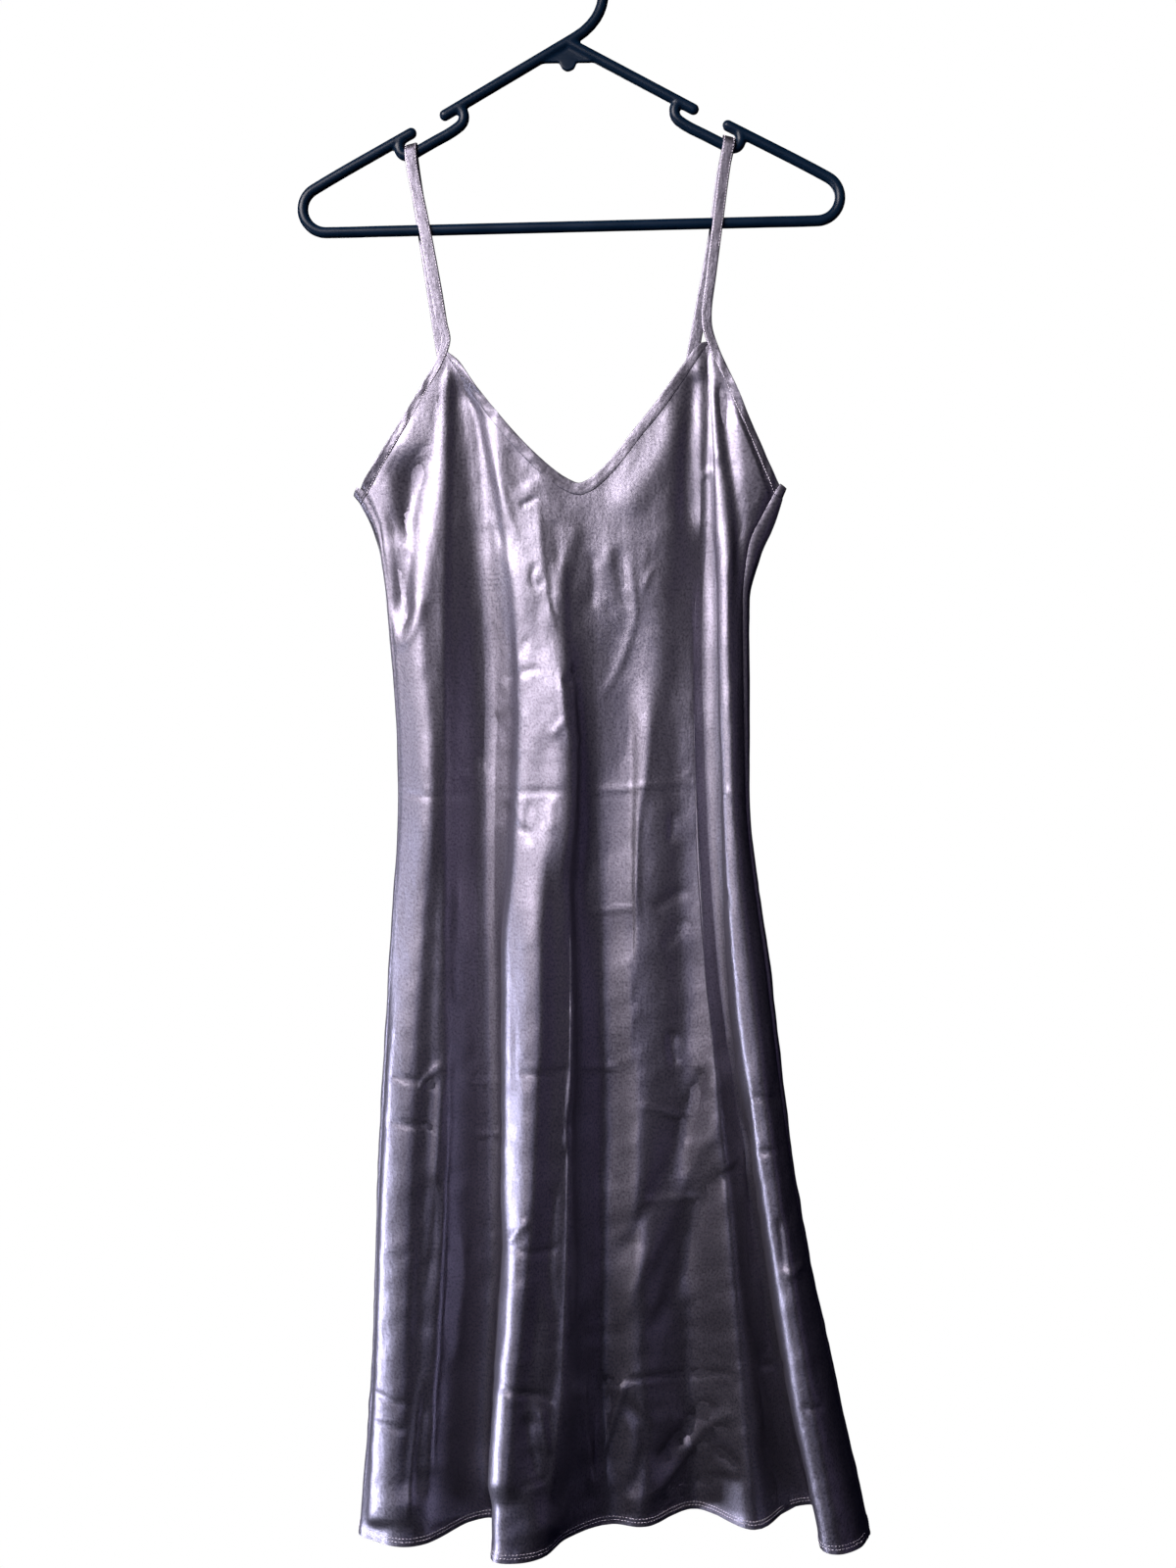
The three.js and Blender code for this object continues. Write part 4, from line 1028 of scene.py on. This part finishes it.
def satin_material(name, crumple, painted_shade):
    """Lilac satin: a fine slubby grain, slightly uneven colour, small crumples and a broad soft shine; the
    last argument scales every colour down as painted shade.
    """
    material, tree, surface = new_material(name)
    place = tree.nodes.new("ShaderNodeUVMap")
    place.uv_map = "cloth"
    uv = place.outputs["UV"]
    grain = noise(tree, stretched(tree, uv, (620, 480)), 1.0, 2.0, 0.6)
    uneven = noise(tree, uv, 9.0, 3.0)
    grain_colour = ramp(tree, grain, [(0.3, (0.50, 0.49, 0.54)), (0.5, (0.82, 0.81, 0.84)), (0.7, (1, 1, 1))])
    # both colours are scaled down by the painted shade factor
    darker, lighter = [tuple(painted_shade * part for part in colour) for colour in SATIN_COLOURS]
    body_colour = ramp(tree, uneven, [(0.3, darker), (0.7, lighter)])
    colour = mixed(tree, "MULTIPLY", 1.0, body_colour, grain_colour)
    tree.links.new(colour, surface.inputs["Base Color"])
    tree.links.new(between(tree, grain, 0.38, 0.53), surface.inputs["Roughness"])
    wave = tree.nodes.new("ShaderNodeTexWave")
    wave.inputs["Scale"].default_value = 520
    wave.inputs["Distortion"].default_value = 1.2
    tree.links.new(uv, wave.inputs["Vector"])
    normal = bump(tree, wave.outputs["Fac"], 0.12, 0.00008)
    normal = bump(tree, grain, 0.35, 0.00018, normal)
    small_folds = noise(tree, stretched(tree, uv, (95, 42), 0.35), 1.0, 4.0, 0.55)
    normal = bump(tree, small_folds, crumple, 0.0016, normal)
    tree.links.new(normal, surface.inputs["Normal"])
    surface.inputs["Metallic"].default_value = 0.965
    return material


def thread_material():
    material, tree, surface = new_material("lilac_thread")
    place = tree.nodes.new("ShaderNodeTexCoord")
    twist = noise(tree, place.outputs["Object"], 2600, 2.0)
    colour = ramp(tree, twist, [(0.3, (0.62, 0.56, 0.66)), (0.7, (0.80, 0.75, 0.83))])
    tree.links.new(colour, surface.inputs["Base Color"])
    tree.links.new(bump(tree, twist, 0.4, 0.0001), surface.inputs["Normal"])
    surface.inputs["Roughness"].default_value = 0.6
    return material


def plastic_material():
    """Semi-gloss navy plastic with a faint moulded unevenness and light handling wear."""
    material, tree, surface = new_material("navy_plastic")
    place = tree.nodes.new("ShaderNodeTexCoord").outputs["Object"]
    cloudy = noise(tree, place, 35, 4.0)
    fine = noise(tree, place, 900, 3.0)
    colour = ramp(tree, cloudy, [(0.3, (0.0012, 0.0075, 0.02)), (0.7, (0.0021, 0.010, 0.026))])
    tree.links.new(colour, surface.inputs["Base Color"])
    tree.links.new(between(tree, cloudy, 0.27, 0.42), surface.inputs["Roughness"])
    normal = bump(tree, fine, 0.05, 0.0001)
    normal = bump(tree, cloudy, 0.08, 0.0006, normal)
    tree.links.new(normal, surface.inputs["Normal"])
    surface.inputs["Specular IOR Level"].default_value = 0.2
    return material


def finish_with(piece, material):
    """Give a piece its material and the part's one body."""
    piece.data.materials.clear()
    piece.data.materials.append(material)
    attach(piece, "root")


# The cloth

front = dressed_grid(front_grid(), -1, FRONT_CREASES, 11)
back = dressed_grid(back_grid(front_grid()), 1, BACK_CREASES, 47)
front_sheet = panel("front_panel_satin", front, -1)
back_sheet = panel("back_panel_satin", back, 1)


def neck_strip():
    """The binding of the V, with its outer line smoothed where the folds of the panel would kink it."""
    top = front[0]
    inner = np.flatnonzero((top[:, 0] > (LEFT_APEX_X - 1) * MM) & (top[:, 0] < (RIGHT_APEX_X + 1) * MM))
    width = top_of_front(top[:, 0] / MM)[1] * MM
    outer_line, inner_line = edge_strip(front, -1, BINDING_OVERLAP, width)
    under = grid_normals(front[:3], -1)[0] * 0.45 * MM
    outer_line = (outer_line - under)[inner]
    for _ in range(10):
        outer_line[1:-1] += 0.25 * (outer_line[:-2] - 2 * outer_line[1:-1] + outer_line[2:])
    strip = Strip("neck_binding_satin", outer_line, (inner_line - under)[inner], -1, 1.5 * MM, 0.6 * MM, 5)
    puckered = [0.6 * MM, 0.6 * MM, 0.25 * MM, 0.25 * MM]
    strip.puckers = np.interp(strip.along / strip.length, [0, 0.45, 0.58, 1], puckered)
    return strip


def back_strip():
    """The binding of the back's scooped top, from underarm to underarm."""
    width = np.full(back.shape[1], BACK_BINDING_WIDTH * MM)
    outer_line, inner_line = edge_strip(back, 1, BINDING_OVERLAP, width)
    under = grid_normals(back[:3], 1)[0] * 0.45 * MM
    return Strip("back_binding_satin", outer_line - under, inner_line - under, 1, 1.7 * MM, 0.25 * MM, 9)


def over_notch(side, notch_x):
    """Pairs of edge points where the strap passes over the rod of its notch, from front to back."""
    run = sorted((tuple(hanger_point(side * x, z)[[0, 2]]) for x, z in MIDDLE_ROD[4:8]), key=lambda p: p[0])
    pairs = []
    for k in range(9):
        angle = math.pi * k / 8
        pair = []
        for edge in (1, -1):
            x = notch_x * MM + side * edge * STRAP_WIDTH / 2 * MM
            height = float(smooth_through([p[0] for p in run], [p[1] for p in run], x))
            rise = 0.2 * MM + 1.08 * STRAP_CLEARANCE * math.sin(angle)
            pair.append((x, -STRAP_CLEARANCE * math.cos(angle), height + rise))
        pairs.append(pair)
    return pairs


def strap_strip(word):
    """One strip: it binds the armhole, runs up in front of the bar, over its notch and down to the back."""
    shape = STRAPS[word]
    side = shape["side"]
    top = front[0]
    apex = LEFT_APEX_X if side < 0 else RIGHT_APEX_X
    columns = np.flatnonzero(side * top[:, 0] > side * (apex + side * 5) * MM)
    if side > 0:
        columns = columns[::-1]
    width = top_of_front(top[:, 0] / MM)[1] * MM
    outer_line, inner_line = edge_strip(front, -1, BINDING_OVERLAP, width)
    under = grid_normals(front[:3], -1)[0] * 0.35 * MM
    curl = np.interp(np.arange(len(columns)), [0, 4, len(columns) - 22, len(columns) - 1], [0.3, 1, 1, 0])
    forward = np.zeros((len(columns), 3))
    forward[:, 1] = -3.2 * MM * curl
    armhole = [(outer_line - under)[columns] + forward, (inner_line - under)[columns]]
    rows = []
    for x, z, strap_width in shape["front"]:
        half = side * strap_width / 2
        rows.append([((x + edge * half) * MM, -STRAP_CLEARANCE, z * MM) for edge in (1, -1)])
    rows += over_notch(side, shape["notch_x"])
    for k, (x, z) in enumerate(shape["back"]):
        lean = STRAP_CLEARANCE + 6 * MM * k / (len(shape["back"]) - 1)
        rows.append([((x + side * edge * STRAP_WIDTH / 2) * MM, lean, z * MM) for edge in (1, -1)])
    bound = [resampled(line, 9 * MM)[0] for line in armhole]
    fewest = min(len(line) for line in bound)
    if len(bound[0]) != len(bound[1]):
        fine = [resampled(line, 1 * MM) for line in armhole]
        bound = [read_at(np.linspace(0, 1, fewest) * at[-1], at, line) for line, at in fine]
    edges = [np.concatenate([bound[k], np.array(rows)[:, k]]) for k in range(2)]
    lines = [curve_through(edge, [8] * (len(edge) - 1)) for edge in edges]
    strip = Strip(f"{word}_strap_satin", lines[0], lines[1], -side, 1.35 * MM, 1.0, 21 + side)
    bound_length = passed_along(armhole[1])[-1]
    strip.puckers = np.interp(strip.along, [0, bound_length - 10 * MM, bound_length + 15 * MM, strip.length],
                              [0.8 * MM, 0.65 * MM, 0.10 * MM, 0.12 * MM])
    return strip


neck = neck_strip()
low_back = back_strip()
left = strap_strip("left")
right = strap_strip("right")
neck_piece = neck.build()
low_back_piece = low_back.build()
left_piece = left.build()
right_piece = right.build()


def hem_line(grid, facing, height, out):
    """A line along a panel at a height above its hem, with its outward directions."""
    normals = grid_normals(grid, facing)
    points = []
    ups = []
    for j in range(2, grid.shape[1] - 2):
        column = grid[::-1, j][:14]
        points.append(read_at(height, passed_along(column), column))
        ups.append(normals[-3, j])
    ups = np.array(ups)
    return np.array(points) + ups * out, ups


def strip_stitches(name, strip, share, first=0.0, pitch=2.3 * MM):
    """A row of stitches at a share of a strip's width, from a share of its length on."""
    line = strip.line(share, THREAD_LIFT)
    keep = strip.along >= first * strip.length
    return stitches(name, line[keep], strip.normal[keep], pitch, 1.5 * MM, 0.55 * MM, 0.3 * MM)


stitching = [
    strip_stitches("neck_stitches", neck, 0.9),
    strip_stitches("back_stitches", low_back, 0.92, pitch=2.6 * MM),
]
for word, strip in (("left", left), ("right", right)):
    stitching.append(strip_stitches(f"{word}_strap_inner_stitches", strip, 0.87))
    stitching.append(strip_stitches(f"{word}_strap_outer_stitches", strip, 0.12, first=0.32))
for word, grid, facing in (("front", front, -1), ("back", back, 1)):
    for row, height in (("lower", 3.4 * MM), ("upper", 5.9 * MM)):
        line, ups = hem_line(grid, facing, height, THREAD_LIFT)
        stitching.append(stitches(f"{word}_hem_{row}_stitches", line, ups, 2.7 * MM, 1.9 * MM, 0.5 * MM,
                                  0.28 * MM))

hanger = make_hanger()

satin = satin_material("lilac_satin", 0.35, 1.0)
# The binding is the same satin, with its colours darkened to 0.85 as painted shade for its duller look in
# this light
binding_satin = satin_material("lilac_satin_binding", 0.5, 0.85)
thread = thread_material()
plastic = plastic_material()

for piece in (front_sheet, back_sheet):
    finish_with(piece, satin)
for piece in (neck_piece, low_back_piece, left_piece, right_piece):
    finish_with(piece, binding_satin)
for piece in stitching:
    finish_with(piece, thread)
finish_with(hanger, plastic)

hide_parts("front_panel")
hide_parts("back_panel")
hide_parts("neck_binding")
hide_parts("back_binding")
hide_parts("left_strap")
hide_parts("right_strap")
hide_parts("hanger")


# The stage, the light and the camera

def stage_plane(name, size, place, turn):
    deselect()
    bpy.ops.mesh.primitive_plane_add(size=size, location=place, rotation=turn)
    plane = added(name)
    material = bpy.data.materials.new(f"{name}_white")
    material.use_nodes = True
    tree = material.node_tree
    tree.nodes.clear()
    glow = tree.nodes.new("ShaderNodeEmission")
    glow.inputs["Color"].default_value = (1, 1, 1, 1)
    out = tree.nodes.new("ShaderNodeOutputMaterial")
    tree.links.new(glow.outputs["Emission"], out.inputs["Surface"])
    plane.data.materials.append(material)
    plane.visible_diffuse = False
    plane.visible_glossy = False
    plane.visible_transmission = False
    plane.visible_shadow = False
    return plane


stage_plane("floor", 14, (0, 0, -1.42), (0, 0, 0))
stage_plane("backdrop", 14, (0, 4.5, 0), (math.pi / 2, 0, 0))


def soft_light(name, place, target, width, height, power, colour, spread):
    data = bpy.data.lights.new(name, "AREA")
    data.shape = "RECTANGLE"
    data.size = width
    data.size_y = height
    data.energy = power
    data.color = colour
    data.spread = math.radians(spread)
    lamp = bpy.data.objects.new(name, data)
    lamp.location = place
    lamp.rotation_euler = (Vector(target) - Vector(place)).to_track_quat("-Z", "Y").to_euler()
    bpy.context.scene.collection.objects.link(lamp)
    return lamp


soft_light("window", (-0.96, -1.22, 0.3), (0.06, 0.0, -0.48), 1.4, 0.8, 12.8, (1.0, 0.94, 0.955), 66)
soft_light("low window", (-1.6, -0.3, -1.3), (0.0, 0.0, -1.12), 0.3, 0.7, 3.6, (0.82, 0.85, 1.0), 60)
soft_light("front fill", (-0.3, -2.4, -0.9), (0.0, 0.0, -1.1), 0.8, 0.8, 0.4, (0.45, 0.5, 1.0), 80)
soft_light("right fill", (1.5, -0.7, -0.8), (0.1, 0.0, -0.8), 0.5, 1.2, 0.35, (0.7, 0.55, 1.0), 140)
soft_light("back light", (-0.9, 2.0, 0.2), (0.0, 0.0, -0.7), 1.2, 1.2, 18, (0.96, 0.95, 1.0), 140)

world = bpy.data.worlds.new("studio")
bpy.context.scene.world = world
world.use_nodes = True
world.node_tree.nodes["Background"].inputs["Color"].default_value = (0.06, 0.08, 0.28, 1)
world.node_tree.nodes["Background"].inputs["Strength"].default_value = 0.025

camera_data = bpy.data.cameras.new("camera")
camera_data.lens = CAMERA_LENS
camera_data.sensor_width = 36
camera = bpy.data.objects.new("camera", camera_data)
camera.location = CAMERA_AT
camera.rotation_euler = (math.pi / 2, 0, 0)
bpy.context.scene.collection.objects.link(camera)
bpy.context.scene.camera = camera
bpy.context.scene.view_settings.view_transform = "Standard"
bpy.context.scene.view_settings.look = "None"
